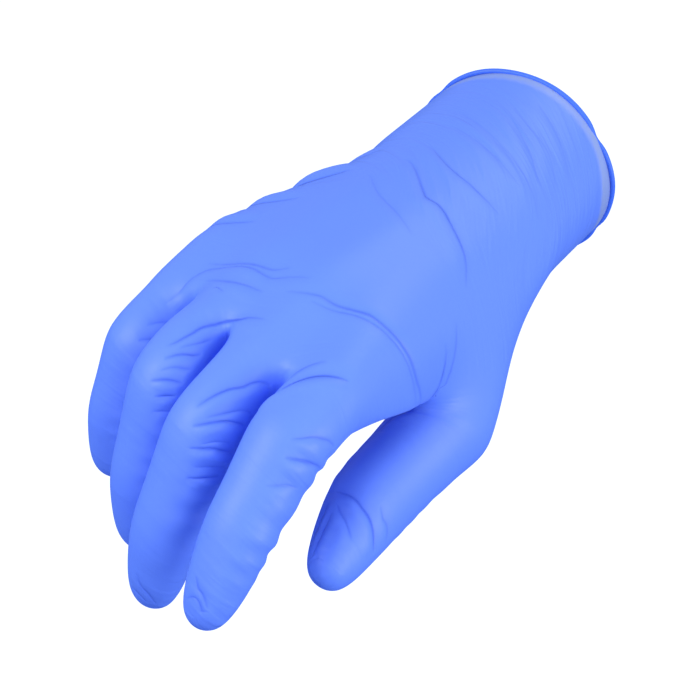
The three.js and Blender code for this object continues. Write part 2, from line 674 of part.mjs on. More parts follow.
function normalsOf({ points, quads }) {
  const normals = points.map(() => new THREE.Vector3());
  for (const [a, b, c, d] of quads) {
    const across = points[c].clone().sub(points[a]);
    const along = points[d].clone().sub(points[b]);
    const normal = across.cross(along);
    [a, b, c, d].forEach((corner) => normals[corner].add(normal));
  }
  return normals.map((normal) => normal.normalize());
}

// The mouth's ring of points, in order, with the film on its left
function rimOf({ quads }) {
  const next = new Map();
  for (const quad of quads) {
    quad.forEach((a, i) => next.set(`${a} ${quad[(i + 1) % quad.length]}`, [a, quad[(i + 1) % quad.length]]));
  }
  const open = new Map();
  for (const [a, b] of next.values()) {
    if (!next.has(`${b} ${a}`)) open.set(a, b);
  }
  const rim = [open.keys().next().value];
  while (open.get(rim[rim.length - 1]) !== rim[0]) rim.push(open.get(rim[rim.length - 1]));
  return rim;
}

// Lifts the film along a fold and sinks it on one side of it. Both fade out towards its ends.
function addFold(fold, { points }, normals, heights) {
  const places = fold.along.map((along, i) => placeOn(fold.on, along, fold.round[i]));
  const curve = new THREE.CatmullRomCurve3(places, false, 'catmullrom', 0.5);
  const steps = STEPS_A_PLACE * (places.length - 1);
  const line = curve.getPoints(steps);
  const width = fold.width * FOLD_WIDTH;
  const sunkAt = SINK_AT * width * Math.sign(fold.sink);
  points.forEach((point, i) => {
    let nearest = { distance: Infinity };
    line.forEach((onLine, step) => {
      const offset = point.clone().sub(onLine);
      const depth = offset.dot(normals[i]);
      offset.addScaledVector(normals[i], -depth);
      const distance = offset.length();
      if (Math.abs(depth) < FOLD_REACH && distance < nearest.distance) nearest = { distance, offset, step };
    });
    if (nearest.distance > FOLD_REACH) return;
    const along = curve.getTangent(nearest.step / steps);
    const beside = Math.sign(normals[i].clone().cross(along).dot(nearest.offset)) * nearest.distance;
    const taper = Math.sqrt(Math.sin((Math.PI * nearest.step) / steps));
    const ridge = Math.exp(-((beside / width) ** 2));
    const sunk = Math.exp(-(((beside - sunkAt) / width) ** 2));
    heights[i] += fold.lift * FOLD_HEIGHT * taper * (ridge - Math.abs(fold.sink) * sunk);
  });
}

// The form with all its folds
function folded(form) {
  const normals = normalsOf(form);
  const heights = form.points.map(() => 0);
  FOLDS.forEach((fold) => addFold(fold, form, normals, heights));
  const points = form.points.map((point, i) => point.clone().addScaledVector(normals[i], heights[i]));
  return { points, quads: form.quads };
}

// Degrees round the bead, from the outer film back to the inner one
const BEAD_TURNS = [-65, -25, 15, 55, 95, 135, 175];

// Outer film, inner film and the rolled bead that joins them at the mouth
function filmSolid() {
  const outer = folded(smoothed(trimmed(net)));
  const normals = normalsOf(outer);
  const count = outer.points.length;
  const points = [...outer.points];
  outer.points.forEach((point, i) => points.push(point.clone().addScaledVector(normals[i], -FILM)));
  const quads = [...outer.quads];
  outer.quads.forEach((quad) => quads.push([...quad].reverse().map((corner) => corner + count)));
  const rim = rimOf(outer);
  const radius = BEAD / 2;
  const lift = FILM - radius;
  const drop = Math.sqrt(radius * radius - lift * lift);
  let from = rim;
  for (const turn of BEAD_TURNS) {
    const ringIds = rim.map((corner) => {
      const out = new THREE.Vector3(normals[corner].x, 0, normals[corner].z).normalize();
      const point = outer.points[corner].clone()
        .addScaledVector(out, radius * Math.cos(rad(turn)) - lift)
        .addScaledVector(Y, radius * Math.sin(rad(turn)) + drop);
      return points.push(point) - 1;
    });
    from.forEach((corner, i) => {
      const next = (i + 1) % from.length;
      quads.push([from[next], corner, ringIds[i], ringIds[next]]);
    });
    from = ringIds;
  }
  const inner = rim.map((corner) => corner + count);
  from.forEach((corner, i) => {
    const next = (i + 1) % from.length;
    quads.push([from[next], corner, inner[i], inner[next]]);
  });
  return { points, quads };
}

function geometryOf({ points, quads }) {
  const geometry = new THREE.BufferGeometry();
  const positions = points.flatMap((point) => [point.x, point.y, point.z]);
  const triangles = quads.flatMap(([a, b, c, d]) => (
    points[a].distanceTo(points[c]) <= points[b].distanceTo(points[d])
      ? [a, b, c, a, c, d]
      : [a, b, d, b, c, d]
  ));
  geometry.setAttribute('position', new THREE.Float32BufferAttribute(positions, 3));
  geometry.setIndex(triangles);
  geometry.computeVertexNormals();
  return geometry;
}

const nitrile = new THREE.MeshStandardMaterial({ color: 0x6487f0, roughness: 0.5, metalness: 0 });
const glove = new THREE.Mesh(geometryOf(filmSolid()), nitrile);
glove.name = 'glove';

const group = new THREE.Group();
group.add(glove);
export default group;
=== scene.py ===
import bpy
import numpy as np
from mathutils import Matrix, Vector


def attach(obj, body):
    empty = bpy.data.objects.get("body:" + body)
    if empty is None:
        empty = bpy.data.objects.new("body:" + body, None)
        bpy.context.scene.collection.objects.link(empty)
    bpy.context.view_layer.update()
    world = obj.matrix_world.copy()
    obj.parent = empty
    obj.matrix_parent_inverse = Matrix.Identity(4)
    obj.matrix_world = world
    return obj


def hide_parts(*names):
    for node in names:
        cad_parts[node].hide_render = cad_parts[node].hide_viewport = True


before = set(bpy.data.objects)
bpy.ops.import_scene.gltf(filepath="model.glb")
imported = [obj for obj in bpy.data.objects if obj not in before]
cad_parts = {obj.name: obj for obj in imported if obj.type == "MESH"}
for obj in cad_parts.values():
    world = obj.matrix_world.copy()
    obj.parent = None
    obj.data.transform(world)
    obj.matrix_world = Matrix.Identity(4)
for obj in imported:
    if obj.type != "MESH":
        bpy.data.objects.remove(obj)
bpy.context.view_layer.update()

# The camera
# It looks down on the back of the hand from beyond the fingertips, a little from the thumb's
# side, with a long lens, as in the photograph. Lengths are in metres and angles in degrees.
MM = 0.001
CAMERA_TARGET = Vector((0.0, -0.126, -0.015))
CAMERA_AZIMUTH = 17.6
CAMERA_ELEVATION = 29.4
CAMERA_ROLL = 15.1
CAMERA_DISTANCE = 0.7744
CAMERA_SHIFT = (1.4 * MM, 1.2 * MM)
LENS_MM = 141.8
SENSOR_MM = 36.0
azimuth, elevation, roll = np.radians((CAMERA_AZIMUTH, CAMERA_ELEVATION, CAMERA_ROLL))
level_reach = np.cos(elevation)
away = Vector((np.sin(azimuth) * level_reach, -np.cos(azimuth) * level_reach, np.sin(elevation)))
level = Vector((np.cos(azimuth), np.sin(azimuth), 0.0))
upright = away.cross(level)
right = level * np.cos(roll) + upright * np.sin(roll)
up = upright * np.cos(roll) - level * np.sin(roll)
stand = CAMERA_TARGET + away * CAMERA_DISTANCE + right * CAMERA_SHIFT[0] + up * CAMERA_SHIFT[1]
lens = bpy.data.cameras.new("camera")
lens.lens = LENS_MM
lens.sensor_width = SENSOR_MM
camera = bpy.data.objects.new("camera", lens)
camera.matrix_world = Matrix((
    (right.x, up.x, away.x, stand.x),
    (right.y, up.y, away.y, stand.y),
    (right.z, up.z, away.z, stand.z),
    (0, 0, 0, 1),
))
bpy.context.collection.objects.link(camera)
bpy.context.scene.camera = camera

# The film
# One skin of blue nitrile rubber, dipped on a former and pulled over a relaxed right hand. It
# has the form of the hand, a palm, four fingers and a thumb, and a plain cuff that flares a
# little towards its mouth. It is stretched smooth over the back and bunched where joints bend.
# Lengths are in millimetres until the mesh is made.
FILM = 0.35
LEVELS = 3
CUFF_LENGTH = 55.0
MOUTH_WIDTH = 66.0
MOUTH_DEPTH = 58.0
WRIST_WIDTH = 68.0
WRIST_DEPTH = 48.0
PALM_LENGTH = 86.0
KNUCKLE_DEPTH = 28.0
FINGER_WIDTH = 22.0
FINGER_LENGTH = 109.0
THUMB_WIDTH = 25.0
THUMB_LENGTH = 111.0
WEB_DEPTH = 20.0
WRIST_BEND = -3.0
WRIST_TURN = -9.0

# The net has columns round the hand, from the little finger's side over the back to the thumb's
# and back across the palm. Turns are in degrees, from the thumb's side over the back.
HAND_COLUMNS = 20
LAST_BACK_COLUMN = 8
FIRST_PALM_COLUMN = 10
LAST_PALM_COLUMN = 18
WEB_COLUMNS = (2, 4, 6)
FIRST_COLUMN_TURN = 162
COLUMN_STEP = 18

# Rows of the cuff: share of the way from the mouth to the wrist, how much of the mouth's extra
# size is left, and the shift across in wrist widths
CUFF_ROWS = [
    (0.0, 1.0, -0.03),
    (0.06, 0.94, -0.03),
    (0.22, 0.66, -0.03),
    (0.42, 0.48, -0.03),
    (0.62, 0.3, -0.03),
    (0.82, 0.12, -0.03),
    (1.0, 0.0, -0.015),
]

# Dips in the mouth's edge: column, how many columns it reaches, share of the cuff's length
MOUTH_WAVES = [(7, 3.5, 0.075), (1, 2.5, 0.01), (14, 4.0, 0.03)]

# Rows of the palm: share of the way from the wrist to the knuckles, then the thumb's pad, the
# heel's pad and the rise of the back in knuckle depths
PALM_ROWS = [
    (0.2, 0.11, 0.07, 0.0),
    (0.4, 0.21, 0.125, 0.02),
    (0.6, 0.21, 0.145, 0.035),
    (0.8, 0.11, 0.11, 0.02),
]

# Each pad's middle and reach, in columns counted from the little finger's side
THENAR_PAD = (6.5, 3.0)
HEEL_PAD = (1.0, 2.5)

# Each finger's knuckle is across, out and up from the wrist, in finger widths, palm lengths and
# knuckle depths. Bones are shares of the finger's length. Bends, spread, lean and roll are in
# degrees. Widths, in finger widths, are at the root and the two joints, and over and under are
# the film's heights at the knuckle, in knuckle depths. Web is how far out the root lies, in web
# depths. Slit, in millimetres, is what the finger keeps open to its neighbour on the thumb's
# side, and film is how much farther the web between those two runs out, in web depths.
FINGERS = {
    "little": dict(
        across=-1.45, out=0.825, up=-0.21, bones=(0.35, 0.2, 0.22), bend=(36, 46, 18), spread=-8,
        lean=-1.5, roll=10, widths=(0.87, 0.765, 0.69), over=0.34, under=0.535, web=1.0, slit=0.0, film=0.0,
    ),
    "ring": dict(
        across=-0.635, out=0.93, up=0.0, bones=(0.42, 0.275, 0.25), bend=(30, 55, 18), spread=-1,
        lean=-3, roll=4, widths=(0.94, 0.85, 0.735), over=0.375, under=0.57, web=1.0, slit=0.0, film=0.15,
    ),
    "middle": dict(
        across=0.275, out=1.0, up=0.105, bones=(0.46, 0.295, 0.265), bend=(33, 46, 19), spread=1,
        lean=1.2, roll=0, widths=(0.98, 0.86, 0.755), over=0.39, under=0.605, web=1.2, slit=1.6, film=0.3,
    ),
    "index": dict(
        across=1.225, out=0.975, up=0.0, bones=(0.42, 0.25, 0.285), bend=(21, 34, 16), spread=4.5,
        lean=0, roll=-6, widths=(1.0, 0.875, 0.74), over=0.39, under=0.605, web=1.35, slit=0.0, film=0.0,
    ),
}

# Edges of the row of knuckles: column, finger, side in finger widths, up in knuckle depths
KNUCKLE_EDGES = [
    (0, 0, -0.43, 0.19),
    (19, 0, -0.545, -0.11),
    (18, 0, -0.385, -0.43),
    (8, 3, 0.47, 0.235),
    (9, 3, 0.68, -0.5),
    (10, 3, 0.42, -0.58),
]
KNUCKLE_DIP = 0.03
KNUCKLE_HOLLOW = 0.035

# Sections of a finger: bone, share along it, breadth, back and pad in half widths. Those of the
# thumb also say how far they run ahead on the side of the web.
FINGER_SECTIONS = [
    (0, 0.68, 1.0, 0.88, 0.97),
    (0, 0.86, 1.02, 0.91, 0.97),
    (1, 0.05, 1.03, 0.93, 0.89),
    (1, 0.3, 1.0, 0.91, 0.95),
    (1, 0.62, 0.98, 0.88, 0.99),
    (1, 0.88, 1.0, 0.91, 0.94),
    (2, 0.1, 1.0, 0.91, 0.9),
    (2, 0.35, 0.97, 0.86, 0.97),
    (2, 0.64, 0.88, 0.78, 0.92),
    (2, 0.87, 0.64, 0.54, 0.7),
]
THUMB = dict(across=1.08, out=0.17, up=-0.26, bones=(0.415, 0.305, 0.3), pan=(23, -6, 12),
             dip=(34, 32, 28), nail=60, widths=(1.08, 0.99, 0.82))
THUMB_SECTIONS = [
    (0, 0.93, 1.05, 0.95, 1.0, 0.85),
    (1, 0.06, 1.05, 0.95, 0.95, 0.6),
    (1, 0.25, 1.0, 0.88, 0.95, 0.3),
    (1, 0.55, 0.97, 0.84, 0.92, 0.1),
    (1, 0.85, 1.0, 0.88, 0.9),
    (2, 0.05, 1.0, 0.9, 0.9),
    (2, 0.3, 0.91, 0.8, 0.9),
    (2, 0.62, 0.76, 0.68, 0.8),
    (2, 0.88, 0.56, 0.48, 0.58),
]

# Where the palm leaves for the thumb: palm row, column, then the place it is drawn to round the
# thumb (bone, share, degrees round, reach in half widths) and how far it is drawn
THUMB_ROOT = [
    (-1, 9, 0, -0.2, 60, 1.2, 0.25),
    (-1, 10, 0, -0.2, 0, 1.2, 0.25),
    (0, 8, 0, 0.15, 130, 1.3, 0.35),
    (0, 9, 0, 0.12, 70, 1.12, 0.85),
    (0, 10, 0, 0.1, 0, 1.2, 0.85),
    (0, 11, 0, 0.12, -60, 1.25, 0.7),
    (1, 8, 0, 0.4, 130, 1.45, 0.45),
    (1, 9, 0, 0.45, 75, 1.1, 0.95),
    (1, 10, 0, 0.45, 5, 1.15, 0.95),
    (1, 11, 0, 0.45, -60, 1.2, 0.85),
    (1, 12, 0, 0.3, -110, 1.5, 0.4),
    (2, 8, 0, 0.7, 140, 1.5, 0.35),
    (2, 9, 0, 0.8, 105, 1.15, 0.95),
    (2, 11, 0, 0.72, -95, 1.2, 0.85),
    (2, 12, 0, 0.5, -130, 1.6, 0.35),
    (3, 8, 1, 0.1, 120, 1.8, 0.25),
    (3, 9, 1, 0.3, 150, 1.1, 0.6),
    (3, 10, 1, 0.35, 180, 1.05, 0.6),
    (3, 11, 0, 0.95, -135, 1.2, 0.6),
    (3, 12, 0, 0.7, -150, 1.8, 0.25),
    (4, 8, 1, 0.3, 110, 2.2, 0.15),
    (4, 9, 1, 0.5, 130, 1.5, 0.5),
    (4, 10, 1, 0.5, 160, 1.5, 0.4),
    (5, 9, 1, 0.65, 140, 1.4, 0.35),
    (5, 10, 1, 0.65, 150, 1.5, 0.2),
]
THUMB_ROOT_AT = 0.6

# Corners of a ring round a finger, and how full its root is: wide in half widths, and over and
# under in shares of that
FINGER_TURNS = (135, 90, 45, 0, -45, -90, -135, 180)
FIRST_DIGIT_TURN = 135
DIGIT_STEP = 45
FINGER_ROOT = dict(wide=1.06, over=0.95, under=1.12)
ROOT_FULLNESS = 1.04
SQUARENESS = 0.05

# Corners of a finger's root that it shares with the next finger's, and the line of corners, as
# (finger, corner), that runs right round all the roots and meets the hand
WEB_CORNERS = ((2, 0), (3, 7), (4, 6))
ROOT_LINE = (
    (0, 0), (0, 1), (0, 2), (1, 1), (1, 2), (2, 1), (2, 2), (3, 1), (3, 2), (3, 3),
    (3, 4), (3, 5), (3, 6), (2, 5), (2, 6), (1, 5), (1, 6), (0, 5), (0, 6), (0, 7),
)

# What smoothing leaves of a ring's size
FINGER_SHRINK = 0.902
HAND_SHRINK = 0.984

# What touching fingers keep between them, at their first section and farther out
FIRST_PRESS_GAP = 2.8
PRESS_GAP = 0.6

# Share of a bone, beside a joint, over which the finger's axes turn
JOINT_REACH = 0.25


def turning(axis, degrees):
    c, s = np.cos(np.radians(degrees)), np.sin(np.radians(degrees))
    i, j = [(1, 2), (2, 0), (0, 1)][axis]
    m = np.eye(3)
    m[i, i] = m[j, j] = c
    m[i, j], m[j, i] = -s, s
    return m


def unit(v):
    return v / np.linalg.norm(v)


hand_axes = turning(0, WRIST_BEND) @ turning(2, WRIST_TURN)


def from_wrist(row):
    step = np.array([row["across"] * FINGER_WIDTH, -row["out"] * PALM_LENGTH, row["up"] * KNUCKLE_DEPTH])
    return np.array([0, -CUFF_LENGTH, 0]) + hand_axes @ step


def joints_of(row, axes, length):
    joints = [from_wrist(row)]
    for share, frame_axes in zip(row["bones"], axes):
        joints.append(joints[-1] - frame_axes[:, 1] * share * length)
    return np.array(joints)


def finger_bones(row):
    spread = hand_axes @ turning(2, row["spread"]) @ turning(1, row["lean"])
    bends = np.cumsum(row["bend"])
    axes = [spread @ turning(0, bend) @ turning(1, row["roll"]) for bend in bends]
    knuckle = spread @ turning(0, row["bend"][0] / 2) @ turning(1, row["roll"])
    return joints_of(row, axes, FINGER_LENGTH), axes, knuckle


def thumb_bones():
    nail = hand_axes @ turning(1, THUMB["nail"])[:, 2]
    axes = []
    for pan, dip in zip(np.radians(THUMB["pan"]), np.radians(THUMB["dip"])):
        back = hand_axes @ np.array([-np.sin(pan) * np.cos(dip), np.cos(pan) * np.cos(dip), np.sin(dip)])
        up = unit(nail - back * (nail @ back))
        axes.append(np.stack([np.cross(back, up), back, up], 1))
    return joints_of(THUMB, axes, THUMB_LENGTH), axes, axes[0]


# The axes turn through half of each bend on either side of a joint
def axes_at(axes, bone, at):
    start, end, share = axes[bone], axes[bone], 0.0
    if at < JOINT_REACH and bone > 0:
        start, share = axes[bone - 1], 0.5 + at / JOINT_REACH * 0.5
    elif at > 1 - JOINT_REACH and bone < len(axes) - 1:
        end, share = axes[bone + 1], (at - 1 + JOINT_REACH) / JOINT_REACH * 0.5
    mixed = start * (1 - share) + end * share
    back = unit(mixed[:, 1])
    up = unit(mixed[:, 2] - back * (mixed[:, 2] @ back))
    return np.stack([np.cross(back, up), back, up], 1)


def ring_around(centre, axes, half, wide, over, under, ahead=0.0):
    turn = np.radians(FINGER_TURNS)
    full = half * (1 + SQUARENESS * np.abs(np.sin(2 * turn))) / FINGER_SHRINK
    height = np.where(np.sin(turn) > 0, over, under) * np.sin(turn)
    lead = -half * ahead * np.maximum(0, -np.cos(turn))
    steps = np.stack([full * wide * np.cos(turn), lead, full * height], 1)
    return centre + steps @ axes.T


def section_rings(joints, axes, sections, widths, size):
    halves = np.array([ROOT_FULLNESS * widths[0], *widths]) * size / 2
    rings = []
    for bone, at, *shape in sections:
        centre = joints[bone] * (1 - at) + joints[bone + 1] * at
        half = np.interp(bone + at, range(4), halves)
        rings.append(ring_around(centre, axes_at(axes, bone, at), half, *shape))
    return rings


# Fingers that touch are pressed flat: what would pass the plane between them goes back to it
def nearest_on(joints, points):
    spots = []
    for start, end in zip(joints, joints[1:]):
        share = np.clip((points - start) @ (end - start) / np.sum((end - start) ** 2), 0, 1)
        spots.append(start + share[:, None] * (end - start))
    gaps = [np.linalg.norm(points - spot, axis=1) for spot in spots]
    return np.choose(np.argmin(gaps, 0)[:, None], spots)


def press_apart(rings, own, other, slit):
    for i, ring in enumerate(rings):
        mine = nearest_on(own, ring)
        middle = (mine + nearest_on(other, ring)) / 2
        away = (mine - middle) / np.linalg.norm(mine - middle, axis=1, keepdims=True)
        clear = np.sum((ring - middle) * away, 1)
        gap = FIRST_PRESS_GAP if i == 0 else PRESS_GAP + slit
        ring += away * np.maximum(0, gap - clear)[:, None]


def swell(distance, reach):
    return (1 + np.cos(np.pi * np.minimum(1, np.abs(distance) / reach))) / 2


def cuff_row(at, flare, shift):
    column = np.arange(HAND_COLUMNS)
    turn = np.radians(FIRST_COLUMN_TURN - COLUMN_STEP * column)
    half_width = (WRIST_WIDTH + (MOUTH_WIDTH - WRIST_WIDTH) * flare) / 2 / HAND_SHRINK
    half_depth = (WRIST_DEPTH + (MOUTH_DEPTH - WRIST_DEPTH) * flare) / 2 / HAND_SHRINK
    dip = sum(depth * swell(column - middle, reach) for middle, reach, depth in MOUTH_WAVES)
    return np.stack([shift * WRIST_WIDTH + half_width * np.cos(turn),
                     -(at + dip * (1 - at)) * CUFF_LENGTH,
                     half_depth * np.sin(turn)], 1)


fingers = [finger_bones(row) for row in FINGERS.values()]
thumb = thumb_bones()


def knuckle_row():
    row = np.zeros((HAND_COLUMNS, 3))
    for i, finger in enumerate(FINGERS.values()):
        joints, _, knuckle = fingers[i]
        row[2 * i + 1] = joints[0] + knuckle[:, 2] * finger["over"] * KNUCKLE_DEPTH
        row[LAST_PALM_COLUMN - 2 * i - 1] = joints[0] - knuckle[:, 2] * finger["under"] * KNUCKLE_DEPTH
    for column in WEB_COLUMNS:
        palm = LAST_PALM_COLUMN - column
        row[column] = (row[column - 1] + row[column + 1]) / 2
        row[column, 2] -= KNUCKLE_DIP * KNUCKLE_DEPTH
        row[palm] = (row[palm - 1] + row[palm + 1]) / 2
        row[palm, 2] += KNUCKLE_HOLLOW * KNUCKLE_DEPTH
    for column, finger, side, up in KNUCKLE_EDGES:
        joints, _, knuckle = fingers[finger]
        row[column] = joints[0] + knuckle[:, 0] * side * FINGER_WIDTH + knuckle[:, 2] * up * KNUCKLE_DEPTH
    return row


def pad_at(across, middle, reach):
    return np.maximum(0, 1 - np.abs(across - middle) / reach)


def palm_row(row, wrist, knuckles):
    at, thenar, heel, back = row
    points = wrist * (1 - at) + knuckles * at
    points[:LAST_BACK_COLUMN + 1, 2] += back * KNUCKLE_DEPTH
    palm = np.arange(FIRST_PALM_COLUMN, LAST_PALM_COLUMN + 1)
    across = LAST_PALM_COLUMN - palm
    pads = thenar * pad_at(across, *THENAR_PAD) + heel * pad_at(across, *HEEL_PAD)
    points[palm, 2] -= pads * KNUCKLE_DEPTH
    return points


# Roots of the fingers. Neighbours meet in the web between them.
root_along = []
root_rings = []
for finger, (joints, axes, _) in zip(FINGERS.values(), fingers):
    along = finger["web"] * WEB_DEPTH / np.linalg.norm(joints[1] - joints[0])
    centre = joints[0] * (1 - along) + joints[1] * along
    half = finger["widths"][0] * FINGER_WIDTH / 2 * FINGER_ROOT["wide"]
    root_along.append(along)
    root_rings.append(ring_around(centre, axes[0], half, 1, FINGER_ROOT["over"], FINGER_ROOT["under"]))
for i, finger in enumerate(list(FINGERS.values())[:-1]):
    film_runs = -finger["film"] * WEB_DEPTH * fingers[i][1][0][:, 1]
    for near, far in WEB_CORNERS:
        shared = (root_rings[i][near] + root_rings[i + 1][far]) / 2 + film_runs
        root_rings[i][near] = root_rings[i + 1][far] = shared
root_row = np.array([root_rings[finger][corner] for finger, corner in ROOT_LINE])

# Rows of the hand from the mouth to the roots of the fingers
cuff_rows = [cuff_row(*row) for row in CUFF_ROWS]
knuckles = knuckle_row()
palm_rows = [palm_row(row, cuff_rows[-1], knuckles) for row in PALM_ROWS]
rows = cuff_rows + palm_rows + [knuckles, (knuckles + root_row) / 2]
for palm, column, bone, at, turn, reach, pull in THUMB_ROOT:
    joints, axes, _ = thumb
    centre = joints[bone] * (1 - at) + joints[bone + 1] * at
    out = np.cos(np.radians(turn)) * axes[bone][:, 0] + np.sin(np.radians(turn)) * axes[bone][:, 2]
    target = centre + out * reach * THUMB["widths"][0] * THUMB_WIDTH / 2
    here = rows[len(cuff_rows) + palm]
    here[column] = here[column] * (1 - pull) + target * pull


# The net of quads. Each corner of a quad keeps its own place on the film: the strip it is on,
# how far along it, and degrees round it. On the hand the wrist is at 1 and the knuckles at 2, and
# on a digit whole numbers are its joints.
HAND, LITTLE, RING, MIDDLE, INDEX, THUMB_SIDE = range(6)
points = []
quads = []
places = []


def add_points(new):
    points.extend(new)
    return list(range(len(points) - len(new), len(points)))


def add_quad(corners, strip, along, turns):
    quads.append(corners)
    places.append([(strip, a, t) for a, t in zip(along, turns)])


def join_rings(start, end, strip, start_along, end_along, turns, skip=()):
    for i, corner in enumerate(start):
        if i in skip:
            continue
        following = (i + 1) % len(start)
        add_quad([corner, end[i], end[following], start[following]], strip,
                 [start_along, end_along, end_along, start_along],
                 [turns[i], turns[i], turns[i + 1], turns[i + 1]])


HAND_ALONG = [row[0] for row in CUFF_ROWS] + [1 + row[0] for row in PALM_ROWS] + [2.0, 2.5, 3.0]
HAND_TURNS = [FIRST_COLUMN_TURN - COLUMN_STEP * column for column in range(HAND_COLUMNS + 1)]
DIGIT_TURNS = [FIRST_DIGIT_TURN - DIGIT_STEP * corner for corner in range(len(FINGER_TURNS) + 1)]
TIP_ALONG = 3.0
THUMB_HOLE = dict(row=1, rows=2, columns=(9, 10))
row_ids = [add_points(row) for row in rows]
hole_start = len(cuff_rows) + THUMB_HOLE["row"]
hole_end = hole_start + THUMB_HOLE["rows"]
for r in range(len(rows) - 1):
    skip = THUMB_HOLE["columns"] if hole_start <= r < hole_end else ()
    join_rings(row_ids[r], row_ids[r + 1], HAND, HAND_ALONG[r], HAND_ALONG[r + 1], HAND_TURNS, skip)

root_ids = [add_points(ring) for ring in root_rings]
for i in range(len(fingers) - 1):
    for near, far in WEB_CORNERS:
        root_ids[i + 1][far] = root_ids[i][near]
root_line = [root_ids[finger][corner] for finger, corner in ROOT_LINE]
join_rings(row_ids[-1], root_line, HAND, *HAND_ALONG[-2:], HAND_TURNS)


# A digit: its rings joined from its root, and its tip closed by quads round one point
def add_digit(root, root_at, strip, rings, sections, tip):
    start, start_at = root, root_at
    for ring, (bone, at, *_) in zip(rings, sections):
        end = add_points(ring)
        join_rings(start, end, strip, start_at, bone + at, DIGIT_TURNS)
        start, start_at = end, bone + at
    centre = add_points([tip])[0]
    for i in range(0, len(start), 2):
        turns = [DIGIT_TURNS[i], DIGIT_TURNS[i + 1], DIGIT_TURNS[i + 2], DIGIT_TURNS[i + 1]]
        add_quad([start[i], centre, start[(i + 2) % len(start)], start[i + 1]], strip,
                 [start_at, TIP_ALONG, start_at, start_at], turns)


digit_grids = []
for i, finger in enumerate(FINGERS.values()):
    joints, axes, _ = fingers[i]
    rings = section_rings(joints, axes, FINGER_SECTIONS, finger["widths"], FINGER_WIDTH)
    for neighbour, slit in ((i - 1, 0.0), (i + 1, finger["slit"])):
        if neighbour in range(len(fingers)):
            press_apart(rings, joints, fingers[neighbour][0], slit)
    digit_grids.append((root_along[i], root_rings[i], rings, FINGER_SECTIONS))
    add_digit(root_ids[i], root_along[i], LITTLE + i, rings, FINGER_SECTIONS, joints[-1])
near, mid, far = (row_ids[r] for r in range(hole_start, hole_end + 1))
low, between = THUMB_HOLE["columns"]
high = between + 1
thumb_root = [far[low], mid[low], near[low], near[between], near[high], mid[high], far[high], far[between]]
rings = section_rings(thumb[0], thumb[1], THUMB_SECTIONS, THUMB["widths"], THUMB_WIDTH)
digit_grids.append((THUMB_ROOT_AT, np.array([points[k] for k in thumb_root]), rings, THUMB_SECTIONS))
add_digit(thumb_root, THUMB_ROOT_AT, THUMB_SIDE, rings, THUMB_SECTIONS, thumb[0][-1])


# Catmull-Clark smoothing of the net, with the places carried along inside each quad
def smoothed(points, quads, places):
    count = len(points)
    centres = points[quads].mean(1)
    edges = np.stack([quads, np.roll(quads, -1, 1)], -1).reshape(-1, 2)
    ends, edge_of, uses = np.unique(np.sort(edges, 1), axis=0, return_inverse=True, return_counts=True)
    edge_of = edge_of.reshape(-1)
    mids = points[ends].mean(1)
    sides = np.zeros((len(ends), 3))
    np.add.at(sides, edge_of, np.repeat(centres, 4, 0))
    inner = uses == 2
    edge_points = mids.copy()
    edge_points[inner] = (sides[inner] / 2 + mids[inner]) / 2
    valence = np.bincount(quads.reshape(-1), minlength=count)[:, None]
    around = np.zeros((count, 3))
    np.add.at(around, quads.reshape(-1), np.repeat(centres, 4, 0))
    spokes = np.zeros((count, 3))
    spoke_count = np.zeros((count, 1))
    rim = np.zeros((count, 3))
    for end in (0, 1):
        np.add.at(spokes, ends[:, end], mids)
        np.add.at(spoke_count, ends[:, end], 1)
        np.add.at(rim, ends[~inner, end], points[ends[~inner, 1 - end]])
    corners = (around / valence + 2 * spokes / spoke_count + (valence - 3) * points) / valence
    on_rim = np.unique(ends[~inner])
    corners[on_rim] = points[on_rim] * 0.75 + rim[on_rim] / 8
    new_points = np.concatenate([corners, edge_points, centres])
    edge_ids = edge_of.reshape(-1, 4) + count
    centre_ids = np.arange(len(quads)) + count + len(ends)
    place_mids = (places + np.roll(places, -1, 1)) / 2
    place_centres = places.mean(1)
    new_quads = []
    new_places = []
    for k in range(4):
        new_quads.append(np.stack([quads[:, k], edge_ids[:, k], centre_ids, edge_ids[:, k - 1]], 1))
        corner_places = [places[:, k], place_mids[:, k], place_centres, place_mids[:, k - 1]]
        new_places.append(np.stack(corner_places, 1))
    return new_points, np.concatenate(new_quads), np.concatenate(new_places)


used, fewer = np.unique(np.array(quads), return_inverse=True)
points = np.array(points)[used]
quads = fewer.reshape(-1, 4)
places = np.array(places, float)
for _ in range(LEVELS):
    points, quads, places = smoothed(points, quads, places)


def normals_of(points, quads):
    a, b, c, d = (points[quads[:, k]] for k in range(4))
    facing = np.cross(c - a, d - b)
    normals = np.zeros_like(points)
    np.add.at(normals, quads.reshape(-1), np.repeat(facing, 4, 0))
    return normals / np.linalg.norm(normals, axis=1, keepdims=True)


# A place on the film, (strip, along, degrees round), as a point of the net between its rows
GRIDS = [(HAND_ALONG, rows + [root_row], FIRST_COLUMN_TURN, COLUMN_STEP)]
for root_at, root, rings, sections in digit_grids:
    steps = [root_at] + [bone + at for bone, at, *_ in sections]
    GRIDS.append((steps, [root, *rings], FIRST_DIGIT_TURN, DIGIT_STEP))


def point_at(strip, along, turn):
    steps, grid, first_turn, step = GRIDS[strip]
    row = min(max(int(np.searchsorted(steps, along)) - 1, 0), len(steps) - 2)
    share = (along - steps[row]) / (steps[row + 1] - steps[row])
    line = grid[row] * (1 - share) + grid[row + 1] * share
    column = (first_turn - turn) % 360 / step
    low, part = int(column) % len(line), column % 1
    return line[low] * (1 - part) + line[(low + 1) % len(line)] * part


# A smooth line through places on the film
LINE_STEPS = 14


